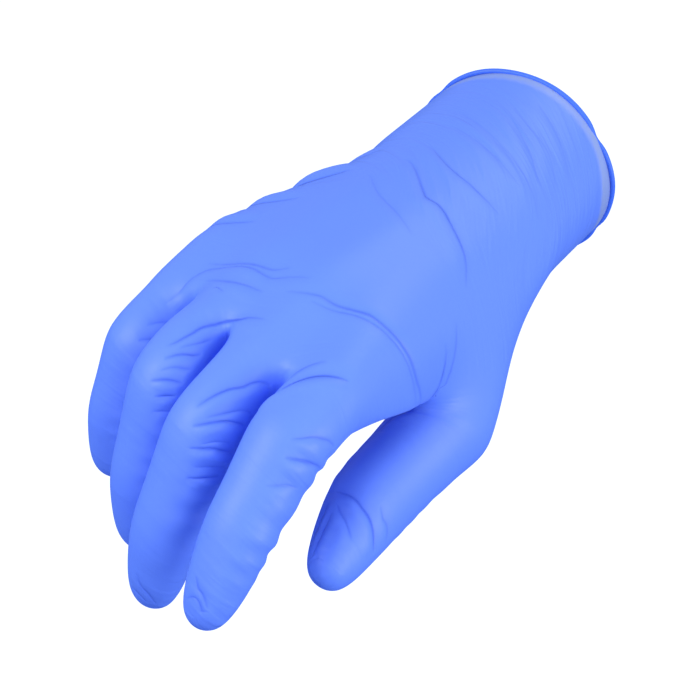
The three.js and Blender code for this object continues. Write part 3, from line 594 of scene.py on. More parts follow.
def line_through(knots):
    knots = np.concatenate([2 * knots[:1] - knots[1:2], knots, 2 * knots[-1:] - knots[-2:-1]])
    line = []
    for a, b, c, d in zip(knots, knots[1:], knots[2:], knots[3:]):
        for t in np.arange(LINE_STEPS) / LINE_STEPS:
            line.append((2 * b + (c - a) * t + (2 * a - 5 * b + 4 * c - d) * t ** 2
                         + (3 * b - a - 3 * c + d) * t ** 3) / 2)
    return np.array(line + [knots[-2]])


# The folds of the film. Each runs through places (strip, along, degrees round) and has its lift
# and half width in millimetres, how much the film sinks on its left (+) or right (-), seen from
# outside, and how sharp the crease in that sunk side is.
FOLDS = [
    # the long pull over the knuckles, from the little finger's web to the thumb's
    ([(LITTLE, 0.74, 66), (LITTLE, 0.62, 60), (HAND, 2.83, 131), (HAND, 2.7, 119), (HAND, 2.6, 105),
      (HAND, 2.48, 90), (HAND, 2.35, 80), (HAND, 2.25, 71)], 0.5, 2.0, 0.5, 0.45),
    ([(HAND, 2.35, 80), (HAND, 2.25, 71), (HAND, 2.17, 63), (HAND, 2.15, 54), (HAND, 2.13, 46),
      (HAND, 2.1, 38), (HAND, 2.1, 31), (HAND, 2.07, 22), (HAND, 2.04, 16), (HAND, 2.0, 11),
      (HAND, 1.96, 6), (HAND, 1.93, 2)], 0.4, 2.4, -0.6, 0.7),
    ([(HAND, 2.3, 66), (HAND, 2.23, 54), (HAND, 2.2, 44), (HAND, 2.19, 34), (HAND, 2.15, 22),
      (HAND, 2.08, 11), (HAND, 2.0, 3)], 0.3, 1.8, -0.5, 0.5),
    ([(HAND, 2.74, 137), (HAND, 2.62, 118), (HAND, 2.5, 103), (HAND, 2.38, 92), (HAND, 2.24, 84)],
     0.35, 2.0, 0.5, 0.5),
    ([(HAND, 2.95, 126), (HAND, 2.93, 112), (HAND, 2.75, 98), (HAND, 2.66, 88)], 0.4, 1.9, 0.5, 0.5),
    # the crease between the knuckle of the index finger and the thumb, and the web's edge
    ([(HAND, 1.83, 14), (HAND, 1.85, 6), (HAND, 1.88, 1), (HAND, 1.9, -3), (HAND, 1.93, -9)],
     0.5, 1.8, 0.6, 0.9),
    ([(HAND, 1.74, 20), (HAND, 1.78, 9), (HAND, 1.82, 1), (HAND, 1.85, -6)], 0.3, 1.6, 0.5, 0.5),
    # pulls from the wrist towards the thumb
    ([(HAND, 1.22, 112), (HAND, 1.27, 103), (HAND, 1.37, 89), (HAND, 1.42, 80), (HAND, 1.42, 71),
      (HAND, 1.45, 63), (HAND, 1.52, 45), (HAND, 1.56, 36), (HAND, 1.62, 29)], 0.6, 2.4, 0.6, 0.75),
    ([(HAND, 1.07, 112), (HAND, 1.18, 90), (HAND, 1.22, 69), (HAND, 1.24, 51)], 0.45, 2.2, 0.5, 0.45),
    ([(HAND, 1.4, 118), (HAND, 1.52, 100), (HAND, 1.58, 82), (HAND, 1.64, 64)], 0.3, 2.2, 0.5, 0.3),
    ([(HAND, 0.82, 112), (HAND, 0.93, 92), (HAND, 1.02, 72), (HAND, 1.05, 60)], 0.45, 2.6, 0.5, 0.2),
    ([(HAND, 0.62, 118), (HAND, 0.74, 99), (HAND, 0.86, 80), (HAND, 1.0, 58), (HAND, 1.08, 40)],
     0.4, 2.6, 0.5, 0.2),
    ([(HAND, 0.43, 101), (HAND, 0.6, 83), (HAND, 0.75, 67), (HAND, 0.9, 56)], 0.4, 2.4, 0.5, 0.22),
    ([(HAND, 0.36, 98), (HAND, 0.5, 81), (HAND, 0.6, 61), (HAND, 0.78, 45)], 0.35, 2.4, 0.5, 0.2),
    ([(HAND, 0.24, 88), (HAND, 0.34, 72), (HAND, 0.48, 54), (HAND, 0.6, 42)], 0.3, 2.4, 0.5, 0.15),
    # slack film puffed up beside the wrist, on the little finger's side
    ([(HAND, 1.26, 140), (HAND, 1.34, 154), (HAND, 1.4, 172), (HAND, 1.42, 190)], 1.9, 5.0, 0.4, 0.9),
    ([(HAND, 1.6, 138), (HAND, 1.66, 152), (HAND, 1.7, 170), (HAND, 1.72, 188)], 0.9, 4.0, 0.4, 0.6),
    ([(HAND, 1.86, 140), (HAND, 1.92, 156), (HAND, 1.95, 174)], 0.6, 3.2, 0.4, 0.5),
    ([(HAND, 1.02, 140), (HAND, 1.08, 158), (HAND, 1.1, 178)], 0.6, 3.4, 0.4, 0.5),
    # index finger
    ([(INDEX, 0.98, 150), (INDEX, 0.93, 135), (INDEX, 0.86, 117), (INDEX, 0.8, 104), (INDEX, 0.75, 92),
      (INDEX, 0.71, 77), (INDEX, 0.68, 62), (INDEX, 0.66, 48)], 0.75, 2.2, 0.8, 1.0),
    ([(INDEX, 0.8, 130), (INDEX, 0.72, 118), (INDEX, 0.65, 104), (INDEX, 0.6, 90)], 0.36, 1.6, 0.6, 0.5),
    ([(INDEX, 1.15, 62), (INDEX, 1.09, 47), (INDEX, 1.03, 31), (INDEX, 0.99, 12), (INDEX, 0.97, -10)],
     0.36, 1.5, 0.6, 0.6),
    ([(INDEX, 1.29, 60), (INDEX, 1.27, 45), (INDEX, 1.24, 28), (INDEX, 1.21, 5), (INDEX, 1.2, -15)],
     0.36, 1.5, 0.6, 0.7),
    ([(INDEX, 1.6, 62), (INDEX, 1.55, 45), (INDEX, 1.5, 28), (INDEX, 1.48, 10)], 0.28, 1.5, 0.6, 0.4),
    # middle finger
    ([(MIDDLE, 0.98, 85), (MIDDLE, 0.93, 78), (MIDDLE, 0.88, 70), (MIDDLE, 0.84, 62), (MIDDLE, 0.8, 50),
      (MIDDLE, 0.74, 36), (MIDDLE, 0.7, 20)], 0.6, 1.9, 0.7, 0.9),
    ([(MIDDLE, 1.02, 72), (MIDDLE, 0.97, 58), (MIDDLE, 0.92, 42), (MIDDLE, 0.88, 26), (MIDDLE, 0.86, 10)],
     0.35, 1.3, 0.7, 0.5),
    ([(MIDDLE, 1.1, 80), (MIDDLE, 1.05, 67), (MIDDLE, 1.0, 50), (MIDDLE, 0.97, 28), (MIDDLE, 0.95, 8)],
     0.55, 1.6, 0.8, 0.9),
    ([(MIDDLE, 1.18, 64), (MIDDLE, 1.13, 48), (MIDDLE, 1.1, 30), (MIDDLE, 1.08, 12)], 0.3, 1.2, 0.7, 0.4),
    ([(MIDDLE, 1.24, 75), (MIDDLE, 1.21, 60), (MIDDLE, 1.18, 45), (MIDDLE, 1.17, 25), (MIDDLE, 1.16, 5)],
     0.55, 1.6, 0.8, 0.9),
    ([(MIDDLE, 1.34, 60), (MIDDLE, 1.31, 44), (MIDDLE, 1.29, 26), (MIDDLE, 1.28, 8)], 0.3, 1.3, 0.7, 0.4),
    ([(MIDDLE, 1.46, 62), (MIDDLE, 1.43, 46), (MIDDLE, 1.4, 28), (MIDDLE, 1.38, 10)], 0.45, 1.6, 0.8, 0.8),
    # ring finger
    ([(RING, 0.9, 92), (RING, 0.86, 82), (RING, 0.78, 69), (RING, 0.72, 60), (RING, 0.65, 46),
      (MIDDLE, 0.48, 125), (MIDDLE, 0.46, 108), (HAND, 2.98, 84), (HAND, 2.93, 76)], 0.5, 1.9, 0.7, 0.9),
    ([(RING, 0.88, 76), (RING, 0.83, 64), (RING, 0.78, 50), (RING, 0.73, 38)], 0.35, 1.2, 0.7, 0.5),
    ([(RING, 0.96, 84), (RING, 0.91, 68), (RING, 0.88, 52), (RING, 0.84, 36)], 0.5, 1.5, 0.8, 0.8),
    ([(RING, 1.02, 80), (RING, 0.98, 66), (RING, 0.96, 52), (RING, 0.94, 40)], 0.35, 1.2, 0.7, 0.5),
    ([(RING, 1.12, 88), (RING, 1.08, 72), (RING, 1.06, 58), (RING, 1.05, 42)], 0.45, 1.5, 0.8, 0.8),
    ([(RING, 1.2, 74), (RING, 1.17, 58), (RING, 1.15, 44)], 0.4, 1.4, 0.8, 0.7),
    ([(RING, 1.3, 72), (RING, 1.28, 58), (RING, 1.27, 44)], 0.3, 1.4, 0.7, 0.4),
    # little finger
    ([(LITTLE, 0.92, 70), (LITTLE, 0.86, 58), (LITTLE, 0.82, 46)], 0.4, 1.5, 0.7, 0.5),
    ([(LITTLE, 1.04, 68), (LITTLE, 1.0, 56), (LITTLE, 0.98, 44)], 0.35, 1.4, 0.7, 0.5),
    # thumb
    ([(THUMB_SIDE, 2.27, 195), (THUMB_SIDE, 2.29, 182), (THUMB_SIDE, 2.31, 161), (THUMB_SIDE, 2.36, 142),
      (THUMB_SIDE, 2.39, 124), (THUMB_SIDE, 2.44, 108), (THUMB_SIDE, 2.5, 92), (THUMB_SIDE, 2.54, 78)],
     0.55, 1.8, 0.7, 0.9),
    ([(THUMB_SIDE, 2.36, 190), (THUMB_SIDE, 2.42, 182), (THUMB_SIDE, 2.5, 163), (THUMB_SIDE, 2.57, 148),
      (THUMB_SIDE, 2.62, 135)], 0.28, 1.6, 0.6, 0.5),
    ([(THUMB_SIDE, 2.8, 188), (THUMB_SIDE, 2.66, 180), (THUMB_SIDE, 2.54, 176), (THUMB_SIDE, 2.42, 172)],
     0.35, 1.3, 0.7, 0.6),
    ([(THUMB_SIDE, 2.72, 205), (THUMB_SIDE, 2.58, 198), (THUMB_SIDE, 2.44, 194), (THUMB_SIDE, 2.33, 190)],
     0.35, 1.3, 0.7, 0.6),
    ([(THUMB_SIDE, 1.55, 190), (THUMB_SIDE, 1.35, 185), (THUMB_SIDE, 1.2, 173), (THUMB_SIDE, 1.0, 165)],
     0.36, 1.5, 0.6, 0.7),
    # small crumples at the fingertips
    ([(INDEX, 2.5, 118), (INDEX, 2.6, 104), (INDEX, 2.64, 88), (INDEX, 2.72, 74)], 0.12, 1.2, 0.6, 0.5),
    ([(INDEX, 2.74, 112), (INDEX, 2.7, 95), (INDEX, 2.78, 78), (INDEX, 2.76, 58)], 0.12, 1.2, 0.6, 0.5),
    ([(MIDDLE, 2.45, 110), (MIDDLE, 2.6, 96), (MIDDLE, 2.66, 78), (MIDDLE, 2.78, 60)], 0.12, 1.2, 0.6, 0.5),
    ([(MIDDLE, 2.72, 120), (MIDDLE, 2.74, 98), (MIDDLE, 2.8, 76)], 0.12, 1.2, 0.6, 0.4),
    ([(THUMB_SIDE, 2.2, 120), (THUMB_SIDE, 2.28, 104), (THUMB_SIDE, 2.3, 88), (THUMB_SIDE, 2.36, 70)],
     0.12, 1.2, 0.6, 0.4),
    # the palm: round the thumb's pad, across below the fingers, and at the wrist
    ([(HAND, 1.12, -92), (HAND, 1.4, -82), (HAND, 1.7, -70), (HAND, 1.92, -52), (HAND, 2.05, -32)],
     1.0, 3.4, 0.7, 0.9),
    ([(HAND, 2.1, -140), (HAND, 2.02, -115), (HAND, 2.04, -88), (HAND, 2.16, -62), (HAND, 2.3, -44)],
     0.9, 3.2, 0.7, 0.9),
    ([(HAND, 1.0, -150), (HAND, 1.04, -115), (HAND, 1.02, -80), (HAND, 1.05, -40)], 0.8, 3.0, 0.6, 0.8),
    ([(HAND, 0.84, -140), (HAND, 0.9, -105), (HAND, 0.88, -70), (HAND, 0.93, -35)], 0.5, 2.6, 0.6, 0.6),
]

# A fold reaches so many millimetres from its line. The film sinks so many half widths beside it,
# and the crease lies a share of the way there and has its own reach. Folds next to each other in
# the list are in other layers, so that their creases don't mix.
FOLD_REACH = 9.0
SINK_AT = 1.6
CREASE_AT = 0.8
CREASE_REACH = 4.0
CREASE_LAYERS = 5

normals = normals_of(points, quads)
of_point = np.zeros((len(points), 3))
of_point[quads] = places
strip, along, turn = of_point.T
height = np.zeros(len(points))
from_crease = np.full((CREASE_LAYERS, len(points)), FOLD_REACH)
sharpness = np.zeros((CREASE_LAYERS, len(points)))
for number, (fold_places, lift, width, lean, sharp) in enumerate(FOLDS):
    line = line_through(np.array([point_at(*place) for place in fold_places]))
    own = np.isin(strip, [place[0] for place in fold_places]) | (strip == HAND)
    inside = (points > line.min(0) - FOLD_REACH) & (points < line.max(0) + FOLD_REACH)
    near = (own & np.all(inside, 1)).nonzero()[0]
    offsets = points[near, None] - line[None]
    depth = np.einsum("pld,pd->pl", offsets, normals[near])
    offsets -= depth[..., None] * normals[near, None]
    distance = np.linalg.norm(offsets, axis=2) + FOLD_REACH * (np.abs(depth) > FOLD_REACH)
    closest = distance.argmin(1)
    each = np.arange(len(near))
    across = np.cross(normals[near], np.gradient(line, axis=0)[closest])
    side = np.sign(np.einsum("pd,pd->p", across, offsets[each, closest]))
    beside = side * distance[each, closest]
    taper = np.sin(np.pi * closest / (len(line) - 1)) ** 0.5
    ridge = np.exp(-(beside / width) ** 2)
    sunk_at = SINK_AT * width * np.sign(lean)
    sunk = np.exp(-((beside - sunk_at) / width) ** 2)
    height[near] += lift * taper * (ridge - abs(lean) * sunk)
    beyond = beside - CREASE_AT * sunk_at
    layer = number % CREASE_LAYERS
    nearer = np.abs(beyond) < np.abs(from_crease[layer, near])
    from_crease[layer, near[nearer]] = beyond[nearer]
    fade = np.clip(CREASE_REACH - np.abs(beyond), 0, 1)
    sharpness[layer, near[nearer]] = (sharp * taper * fade)[nearer]

# Gathers in the slack film of the digits: rings of film, uneven along the digit, highest on the
# thumb's side of each and inside its bent joints, and none on its back
GATHER_LIFT = 0.42
GATHER_SPACING = 8.5
GATHER_SWAY = 2.2
GATHER_SWAY_LENGTH = 7.0
GATHER_SLANT = 0.8
BONE_LENGTH = 33.0
JOINTS = (1, 2)
JOINT_SLACK_REACH = 0.2
INNER_SLACK = 0.25
SIDE_SLACK = 0.7
SIDE_SLACK_TURN = 0.2
THUMB_SLACK = 0.3

# Place along a digit, and how gathered it is there
GATHERED_ALONG = ((0.85, 0), (1.15, 1), (2.0, 1), (2.5, 0))


def read_table(along, table):
    return np.interp(along, *zip(*table))


turn = np.radians(turn)
digit_mm = along * BONE_LENGTH
sway = GATHER_SWAY * np.sin(digit_mm / GATHER_SWAY_LENGTH + 2 * strip)
phase = 2 * np.pi * digit_mm / GATHER_SPACING + sway + GATHER_SLANT * np.sin(turn + strip)
joint_slack = sum(np.exp(-((along - joint) / JOINT_SLACK_REACH) ** 2) for joint in JOINTS)
side_slack = SIDE_SLACK * np.clip(np.cos(turn - SIDE_SLACK_TURN), 0, 1) ** 2
inner_slack = np.clip(-np.sin(turn), 0, 1) * (INNER_SLACK + joint_slack)
slack = (strip > HAND) * (side_slack + inner_slack) * read_table(along, GATHERED_ALONG)
slack *= np.where(strip == THUMB_SIDE, THUMB_SLACK, 1)
height += GATHER_LIFT * slack * np.sin(phase)

points = points + normals * height[:, None]
normals = normals_of(points, quads)


# The wall is the film's inner side joined to its outer side round the mouth
def rim_of(quads):
    edges = np.stack([quads, np.roll(quads, -1, 1)], -1).reshape(-1, 2)
    _, inverse, uses = np.unique(np.sort(edges, 1), axis=0, return_inverse=True, return_counts=True)
    following = dict(edges[uses[inverse.reshape(-1)] == 1])
    loop = [next(iter(following))]
    while following[loop[-1]] != loop[0]:
        loop.append(following[loop[-1]])
    return loop


rim = np.array(rim_of(quads))
count = len(points)
inner = quads[:, ::-1] + count
lip = np.stack([np.roll(rim, -1), rim, rim + count, np.roll(rim, -1) + count], 1)
film_points = np.concatenate([points, points - normals * FILM]) * MM
film_mesh = bpy.data.meshes.new("film")
film_mesh.from_pydata(film_points.tolist(), [], np.concatenate([quads, inner, lip]).tolist())
film_mesh.shade_smooth()
film = bpy.data.objects.new("film", film_mesh)
bpy.context.collection.objects.link(film)

# The pale band at the mouth, thin film with painted light showing through it from behind, is wider where
# one layer stands alone, by so many millimetres at a place round the mouth that reaches so many degrees
# each way
BAND_SWELL = 5.5
BAND_SWELL_AT = 6.0
BAND_SWELL_REACH = 24.0

# What the material reads: how far each point is from the mouth and, in each layer, how far it is
# from the nearest crease and how sharp that crease is
from_mouth = np.full(count, CUFF_LENGTH)
on_hand = places[..., 0] == HAND
from_mouth[quads[on_hand]] = places[on_hand][:, 1] * CUFF_LENGTH
round_mouth = np.degrees(np.arctan2(points[:, 2], points[:, 0]))
band_swell = BAND_SWELL * np.exp(-((round_mouth - BAND_SWELL_AT) / BAND_SWELL_REACH) ** 2)
read = {"from_mouth": from_mouth - band_swell}
for layer in range(CREASE_LAYERS):
    read[f"from_crease_{layer}"] = from_crease[layer]
    read[f"sharpness_{layer}"] = sharpness[layer]
for name, values in read.items():
    attribute = film_mesh.attributes.new(name, "FLOAT", "POINT")
    attribute.data.foreach_set("value", np.tile(values, 2).astype(np.float32))

# Fine wrinkles run where flow is equal: slanting from the cuff to the thumb, back over the
# knuckles, and round the digits. Each corner has its flow and its place round, in millimetres,
# and how wrinkled the film is there. The hand and each digit are taken as plain tubes of a radius.
HAND_RADIUS = 30.0
DIGIT_RADIUS = 10.0
STRIPS_APART = 90.0
SLANT_FROM = np.radians(70)
DIGIT_SLANT = 0.3

# Place along the hand or a digit, and the slant or how wrinkled the film is there. The back of
# the hand and the inner sides of the digits have more of it.
HAND_SLANT = ((0, 0.75), (1.4, 0.75), (2.1, -0.6), (3, -0.9))
HAND_WRINKLES = ((0, 0), (0.15, 0.5), (0.6, 0.8), (1.3, 0.9), (1.7, 0.3), (2.0, 0.15), (3, 0.15))
DIGIT_WRINKLES = ((0.4, 0.8), (0.9, 0.7), (1.4, 0.6), (1.8, 0.4), (2.4, 0.6), (2.8, 1), (3, 1))
BACK_SHARE = 0.35
INNER_SHARE = 0.5
strip, along, turn = np.moveaxis(places, -1, 0)
on_hand = strip == HAND
turn = np.radians(turn)
radius = np.where(on_hand, HAND_RADIUS, DIGIT_RADIUS)
slant = np.where(on_hand, read_table(along, HAND_SLANT), DIGIT_SLANT)
hand_mm = np.interp(along, (0, 1, 3), (0, CUFF_LENGTH, CUFF_LENGTH + PALM_LENGTH + WEB_DEPTH))
flow = np.where(on_hand, hand_mm, along * BONE_LENGTH) + slant * radius * np.sin(turn - SLANT_FROM)
course = np.stack([flow, radius * np.cos(turn) + STRIPS_APART * strip, radius * np.sin(turn)], -1)
hand_wrinkles = read_table(along, HAND_WRINKLES) * (1 - BACK_SHARE + BACK_SHARE * np.sin(turn))
digit_wrinkles = read_table(along, DIGIT_WRINKLES) * (1 - INNER_SHARE * np.sin(turn))
wrinkled = np.where(on_hand, hand_wrinkles, digit_wrinkles)
wrinkle_course = np.concatenate([course, course[:, ::-1], np.zeros((len(rim), 4, 3))])
wrinkle_amount = np.concatenate([wrinkled, wrinkled[:, ::-1], np.zeros((len(rim), 4))])
attribute = film_mesh.attributes.new("course", "FLOAT_VECTOR", "CORNER")
attribute.data.foreach_set("vector", wrinkle_course.reshape(-1).astype(np.float32))
attribute = film_mesh.attributes.new("wrinkled", "FLOAT", "CORNER")
attribute.data.foreach_set("value", wrinkle_amount.reshape(-1).astype(np.float32))


# Nodes of a tree, with their sockets set or linked by name
class Tree:
    def __init__(self, tree):
        self.tree = tree

    def add(self, kind, output=0, set_up=None, **inputs):
        node = self.tree.nodes.new(kind)
        for key, value in (set_up or {}).items():
            setattr(node, key, value)
        for key, value in inputs.items():
            socket = node.inputs[int(key[1:])] if key[1:].isdigit() else node.inputs[key.replace("_", " ")]
            if isinstance(value, bpy.types.NodeSocket):
                self.tree.links.new(value, socket)
            else:
                socket.default_value = value
        return node.outputs[output]

    def maths(self, operation, *values):
        inputs = {f"i{i}": value for i, value in enumerate(values)}
        return self.add("ShaderNodeMath", set_up=dict(operation=operation), **inputs)

    def attribute(self, name, output="Fac"):
        return self.add("ShaderNodeAttribute", output=output, set_up=dict(attribute_name=name))


def add_numbers(group, numbers):
    for name, value in numbers.items():
        socket = group.interface.new_socket(name, in_out="INPUT", socket_type="NodeSocketFloat")
        socket.default_value = value


# A crease: 1 along its line and falling off over its width, from the distance and how sharp it is
crease_group = bpy.data.node_groups.new("crease", "ShaderNodeTree")
add_numbers(crease_group, dict(Distance=0.0, Sharpness=1.0, Width=0.45))
crease_group.interface.new_socket("Depth", in_out="OUTPUT", socket_type="NodeSocketFloat")
inside = Tree(crease_group)
given = crease_group.nodes.new("NodeGroupInput").outputs
widths_off = inside.maths("DIVIDE", given["Distance"], given["Width"])
hollow = inside.maths("DIVIDE", 1.0, inside.maths("MULTIPLY_ADD", widths_off, widths_off, 1.0))
depth_out = crease_group.nodes.new("NodeGroupOutput")
crease_group.links.new(inside.maths("MULTIPLY", hollow, given["Sharpness"]), depth_out.inputs["Depth"])

# Wrinkles: thin ridges a spacing apart that run on round the film, from noise drawn out that
# way. They rise where the noise is within a ridge's width of its middle.
RIDGE_WIDTH = 0.14
wrinkle_group = bpy.data.node_groups.new("wrinkles", "ShaderNodeTree")
wrinkle_group.interface.new_socket("Course", in_out="INPUT", socket_type="NodeSocketVector")
add_numbers(wrinkle_group, dict(Amount=1.0, Spacing=3.0, Run=20.0))
wrinkle_group.interface.new_socket("Height", in_out="OUTPUT", socket_type="NodeSocketFloat")
inside = Tree(wrinkle_group)
given = wrinkle_group.nodes.new("NodeGroupInput").outputs
stretch = inside.add("ShaderNodeCombineXYZ", X=given["Spacing"], Y=given["Run"], Z=given["Run"])
drawn = inside.add("ShaderNodeVectorMath", set_up=dict(operation="DIVIDE"), i0=given["Course"], i1=stretch)
noise = inside.add("ShaderNodeTexNoise", Vector=drawn, Scale=1.0, Detail=2.0, Roughness=0.5)
from_middle = inside.maths("ABSOLUTE", inside.maths("SUBTRACT", noise, 0.5))
ridged = inside.add("ShaderNodeMapRange", set_up=dict(interpolation_type="SMOOTHSTEP"),
                    Value=from_middle, From_Min=0.0, From_Max=RIDGE_WIDTH, To_Min=1.0, To_Max=0.0)
height_out = wrinkle_group.nodes.new("NodeGroupOutput")
wrinkle_group.links.new(inside.maths("MULTIPLY", ridged, given["Amount"]), height_out.inputs["Height"])

# Nitrile: a satin blue rubber, with painted shade darkening its creases, and paler in the band at the
# mouth, where the film is thin and painted light shows through it from behind
FILM_ROUGHNESS = 0.46
FILM_SPECULAR = 0.35
FILM_BLUE = (0.135, 0.26, 0.94, 1)
PAINTED_CREASE_SHADE_BLUE = (0.03, 0.09, 0.72, 1)
BACKLIT_MOUTH_BLUE = (0.27, 0.36, 0.7, 1)
CREASE_WIDTH = 0.42
PAINTED_CREASE_SHADE = 0.75
CREASE_DEPTH = 0.45 * MM
GRAIN_DEPTH = 0.05 * MM
GRAIN_SIZE = 2.2 * MM
MOUTH_BAND = 4.4
BAND_FADE = 2.2
BAND_WANDER = 2.0

# Spacing and run of the fine wrinkles in millimetres, and their height
WRINKLES = ((9.0, 60.0, 0.22 * MM), (4.0, 26.0, 0.08 * MM))
nitrile = bpy.data.materials.new("blue nitrile film")
nitrile.use_nodes = True
rubber = nitrile.node_tree.nodes["Principled BSDF"]
skin = Tree(nitrile.node_tree)
depth = 0.0
for layer in range(CREASE_LAYERS):
    one = skin.add("ShaderNodeGroup", set_up=dict(node_tree=crease_group), Width=CREASE_WIDTH,
                   Distance=skin.attribute(f"from_crease_{layer}"),
                   Sharpness=skin.attribute(f"sharpness_{layer}"))
    depth = skin.maths("MAXIMUM", one, depth)
where = skin.add("ShaderNodeTexCoord", output="Object")
grain = skin.add("ShaderNodeTexNoise", output="Fac", Vector=where, Scale=1 / GRAIN_SIZE, Detail=4.0,
                 Roughness=0.55)
relief = skin.add("ShaderNodeBump", Strength=1.0, Distance=GRAIN_DEPTH, Height=grain)
for spacing, run, height in WRINKLES:
    wrinkles = skin.add("ShaderNodeGroup", set_up=dict(node_tree=wrinkle_group), Spacing=spacing, Run=run,
                        Course=skin.attribute("course", "Vector"), Amount=skin.attribute("wrinkled"))
    relief = skin.add("ShaderNodeBump", Strength=1.0, Distance=height, Height=wrinkles, Normal=relief)
creased = skin.add("ShaderNodeBump", set_up=dict(invert=True), Strength=1.0, Distance=CREASE_DEPTH,
                   Height=depth, Normal=relief)
wander = skin.maths("MULTIPLY_ADD", grain, BAND_WANDER, skin.attribute("from_mouth"))
band = skin.add("ShaderNodeMapRange", set_up=dict(interpolation_type="SMOOTHSTEP"), Value=wander,
                From_Min=MOUTH_BAND - BAND_FADE, From_Max=MOUTH_BAND + BAND_FADE, To_Min=1.0, To_Max=0.0)
mix = dict(data_type="RGBA")
# Partly painted light: the thin film of the band at the mouth is paled as if light shone through it from
# behind
blue = skin.add("ShaderNodeMix", output="Result", set_up=mix, Factor=band, A=FILM_BLUE, B=BACKLIT_MOUTH_BLUE)
# Painted shade: the colour darkens towards a deep blue along each crease, by its depth and sharpness
shade = skin.maths("MULTIPLY", depth, PAINTED_CREASE_SHADE)
blue = skin.add("ShaderNodeMix", output="Result", set_up=mix, Factor=shade, A=blue, B=PAINTED_CREASE_SHADE_BLUE)
rubber.inputs["Roughness"].default_value = FILM_ROUGHNESS
rubber.inputs["Specular IOR Level"].default_value = FILM_SPECULAR
skin.tree.links.new(blue, rubber.inputs["Base Color"])
skin.tree.links.new(creased, rubber.inputs["Normal"])
film_mesh.materials.append(nitrile)
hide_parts("glove")
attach(film, "root")

# The bead
# The edge of the film, rolled outwards on itself as it came off the former, so that the mouth
# doesn't tear. It is a soft cord of film about 1.7 mm thick that wavers where it was rolled.
BEAD_RADIUS = 0.85
BEAD_OUT = 0.35
BEAD_UP = 0.4
BEAD_BLUE = (0.06, 0.17, 0.84, 1)
BEAD_SIDES = 14
BEAD_WAVER = 0.3
BEAD_WAVES = (5, 2)
BEAD_WAVES_START = 40

# Kinks in the bead: where round the mouth, in degrees, and how deep in millimetres
KINKS = ((48, 0.9), (-22, 0.8), (150, 0.6))
KINK_REACH = 6
out = normals[rim] * (1, 0, 1)
out /= np.linalg.norm(out, axis=1, keepdims=True)
round_mouth = np.degrees(np.arctan2(out[:, 2], out[:, 0]))
fast, slow = BEAD_WAVES
waver = BEAD_WAVER * np.sin(np.radians(fast * round_mouth))
waver *= np.sin(np.radians(slow * round_mouth + BEAD_WAVES_START))
for kink_turn, kink_depth in KINKS:
    waver -= kink_depth * np.exp(-((round_mouth - kink_turn) / KINK_REACH) ** 2)
bead_points = (points[rim] + out * (BEAD_OUT + waver[:, None]) + np.array([0, BEAD_UP, 0])) * MM
bead_mesh = bpy.data.meshes.new("bead")
around = np.arange(len(rim))
bead_mesh.from_pydata(bead_points.tolist(), np.stack([around, np.roll(around, -1)], 1).tolist(), [])
bead = bpy.data.objects.new("bead", bead_mesh)
bpy.context.collection.objects.link(bead)

rolled = nitrile.copy()
rolled.name = "blue nitrile bead"
rolled_skin = rolled.node_tree.nodes["Principled BSDF"]
rolled.node_tree.links.remove(rolled_skin.inputs["Base Color"].links[0])
rolled_skin.inputs["Base Color"].default_value = BEAD_BLUE
rolling = bpy.data.node_groups.new("rolled bead", "GeometryNodeTree")
for name, kind in (("Geometry", "NodeSocketGeometry"), ("Radius", "NodeSocketFloat"),
                   ("Sides", "NodeSocketInt"), ("Material", "NodeSocketMaterial")):
    rolling.interface.new_socket(name, in_out="INPUT", socket_type=kind)
rolling.interface.new_socket("Geometry", in_out="OUTPUT", socket_type="NodeSocketGeometry")
roll = Tree(rolling)
given = rolling.nodes.new("NodeGroupInput").outputs
circle = roll.add("GeometryNodeCurvePrimitiveCircle", Resolution=given["Sides"], Radius=given["Radius"])
route = roll.add("GeometryNodeMeshToCurve", Mesh=given["Geometry"])
tube = roll.add("GeometryNodeCurveToMesh", Curve=route, Profile_Curve=circle)
smooth = roll.add("GeometryNodeSetShadeSmooth", Geometry=tube)
real = roll.add("GeometryNodeRealizeInstances", Geometry=smooth)
dressed = roll.add("GeometryNodeSetMaterial", Geometry=real, Material=given["Material"])
roll.tree.links.new(dressed, rolling.nodes.new("NodeGroupOutput").inputs["Geometry"])
modifier = bead.modifiers.new("rolled bead", "NODES")
modifier.node_group = rolling
sockets = {item.name: item.identifier for item in rolling.interface.items_tree if item.in_out == "INPUT"}
modifier[sockets["Radius"]] = BEAD_RADIUS * MM
modifier[sockets["Sides"]] = BEAD_SIDES
modifier[sockets["Material"]] = rolled
evaluated = bead.evaluated_get(bpy.context.evaluated_depsgraph_get())
bead.data = bpy.data.meshes.new_from_object(evaluated)
bead.modifiers.clear()
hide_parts("glove")
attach(bead, "root")

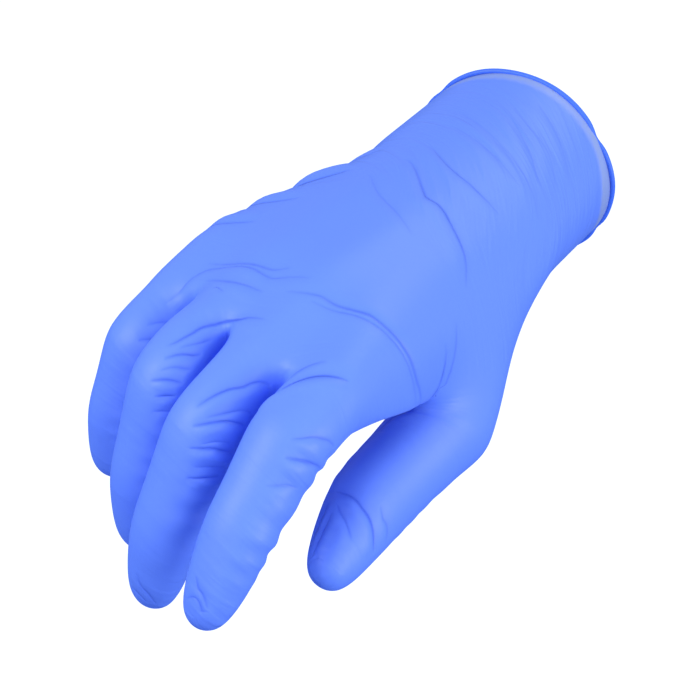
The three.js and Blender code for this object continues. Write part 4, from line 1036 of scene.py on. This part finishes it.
# The floor and the light
# A plain floor well below the glove that the camera sees as white, with white all round. It
# throws back a little blue. Soft boxes stand on both sides, in front and behind, and weaker pale
# blue light comes from all round.
FLOOR_HALF = 4.0
FLOOR_HEIGHT = -0.5
FLOOR_BLUE = (0.12, 0.2, 0.45, 1)
WHITE = (1, 1, 1, 1)
floor_mesh = bpy.data.meshes.new("floor")
sides = ((-1, -1), (1, -1), (1, 1), (-1, 1))
corners = [(x * FLOOR_HALF, y * FLOOR_HALF, FLOOR_HEIGHT) for x, y in sides]
floor_mesh.from_pydata(corners, [], [(0, 1, 2, 3)])
floor = bpy.data.objects.new("floor", floor_mesh)
bpy.context.collection.objects.link(floor)
paper = bpy.data.materials.new("white paper")
paper.use_nodes = True
sheet = paper.node_tree.nodes["Principled BSDF"]
sheet.inputs["Base Color"].default_value = FLOOR_BLUE
sheet.inputs["Roughness"].default_value = 1.0
sheet.inputs["Specular IOR Level"].default_value = 0.0
sheet.inputs["Emission Color"].default_value = WHITE
page = Tree(paper.node_tree)
seen = page.add("ShaderNodeLightPath", output="Is Camera Ray")
page.tree.links.new(seen, sheet.inputs["Emission Strength"])
floor_mesh.materials.append(paper)

SKY = 0.65
SKY_BLUE = (0.68, 0.8, 1, 1)
world = bpy.data.worlds.new("studio")
world.use_nodes = True
backdrop = world.node_tree.nodes["Background"]
air = Tree(world.node_tree)
seen = air.add("ShaderNodeLightPath", output="Is Camera Ray")
colour = air.add("ShaderNodeMix", output="Result", set_up=mix, Factor=seen, A=SKY_BLUE, B=WHITE)
air.tree.links.new(colour, backdrop.inputs["Color"])
air.tree.links.new(air.maths("MULTIPLY_ADD", seen, 1 - SKY, SKY), backdrop.inputs["Strength"])
bpy.context.scene.world = world

# Soft boxes: name, place and power in watts. All are one size and face the glove.
BOX_SIZE = 0.6
BOXES = [
    ("left", (-0.7, -0.8, 0.5), 7.3),
    ("right", (1.05, -0.3, 0.25), 6.4),
    ("right front", (0.75, -0.8, 0.75), 3.2),
    ("low front", (-0.1, -1.15, 0.05), 1.0),
    ("back", (0.1, 0.75, 0.9), 2.3),
]
for name, place, power in BOXES:
    light = bpy.data.lights.new(name, "AREA")
    light.size = BOX_SIZE
    light.energy = power
    lamp = bpy.data.objects.new(name, light)
    lamp.location = place
    lamp.rotation_euler = (CAMERA_TARGET - Vector(place)).to_track_quat("-Z", "Y").to_euler()
    bpy.context.collection.objects.link(lamp)
bpy.context.scene.view_settings.view_transform = "Standard"
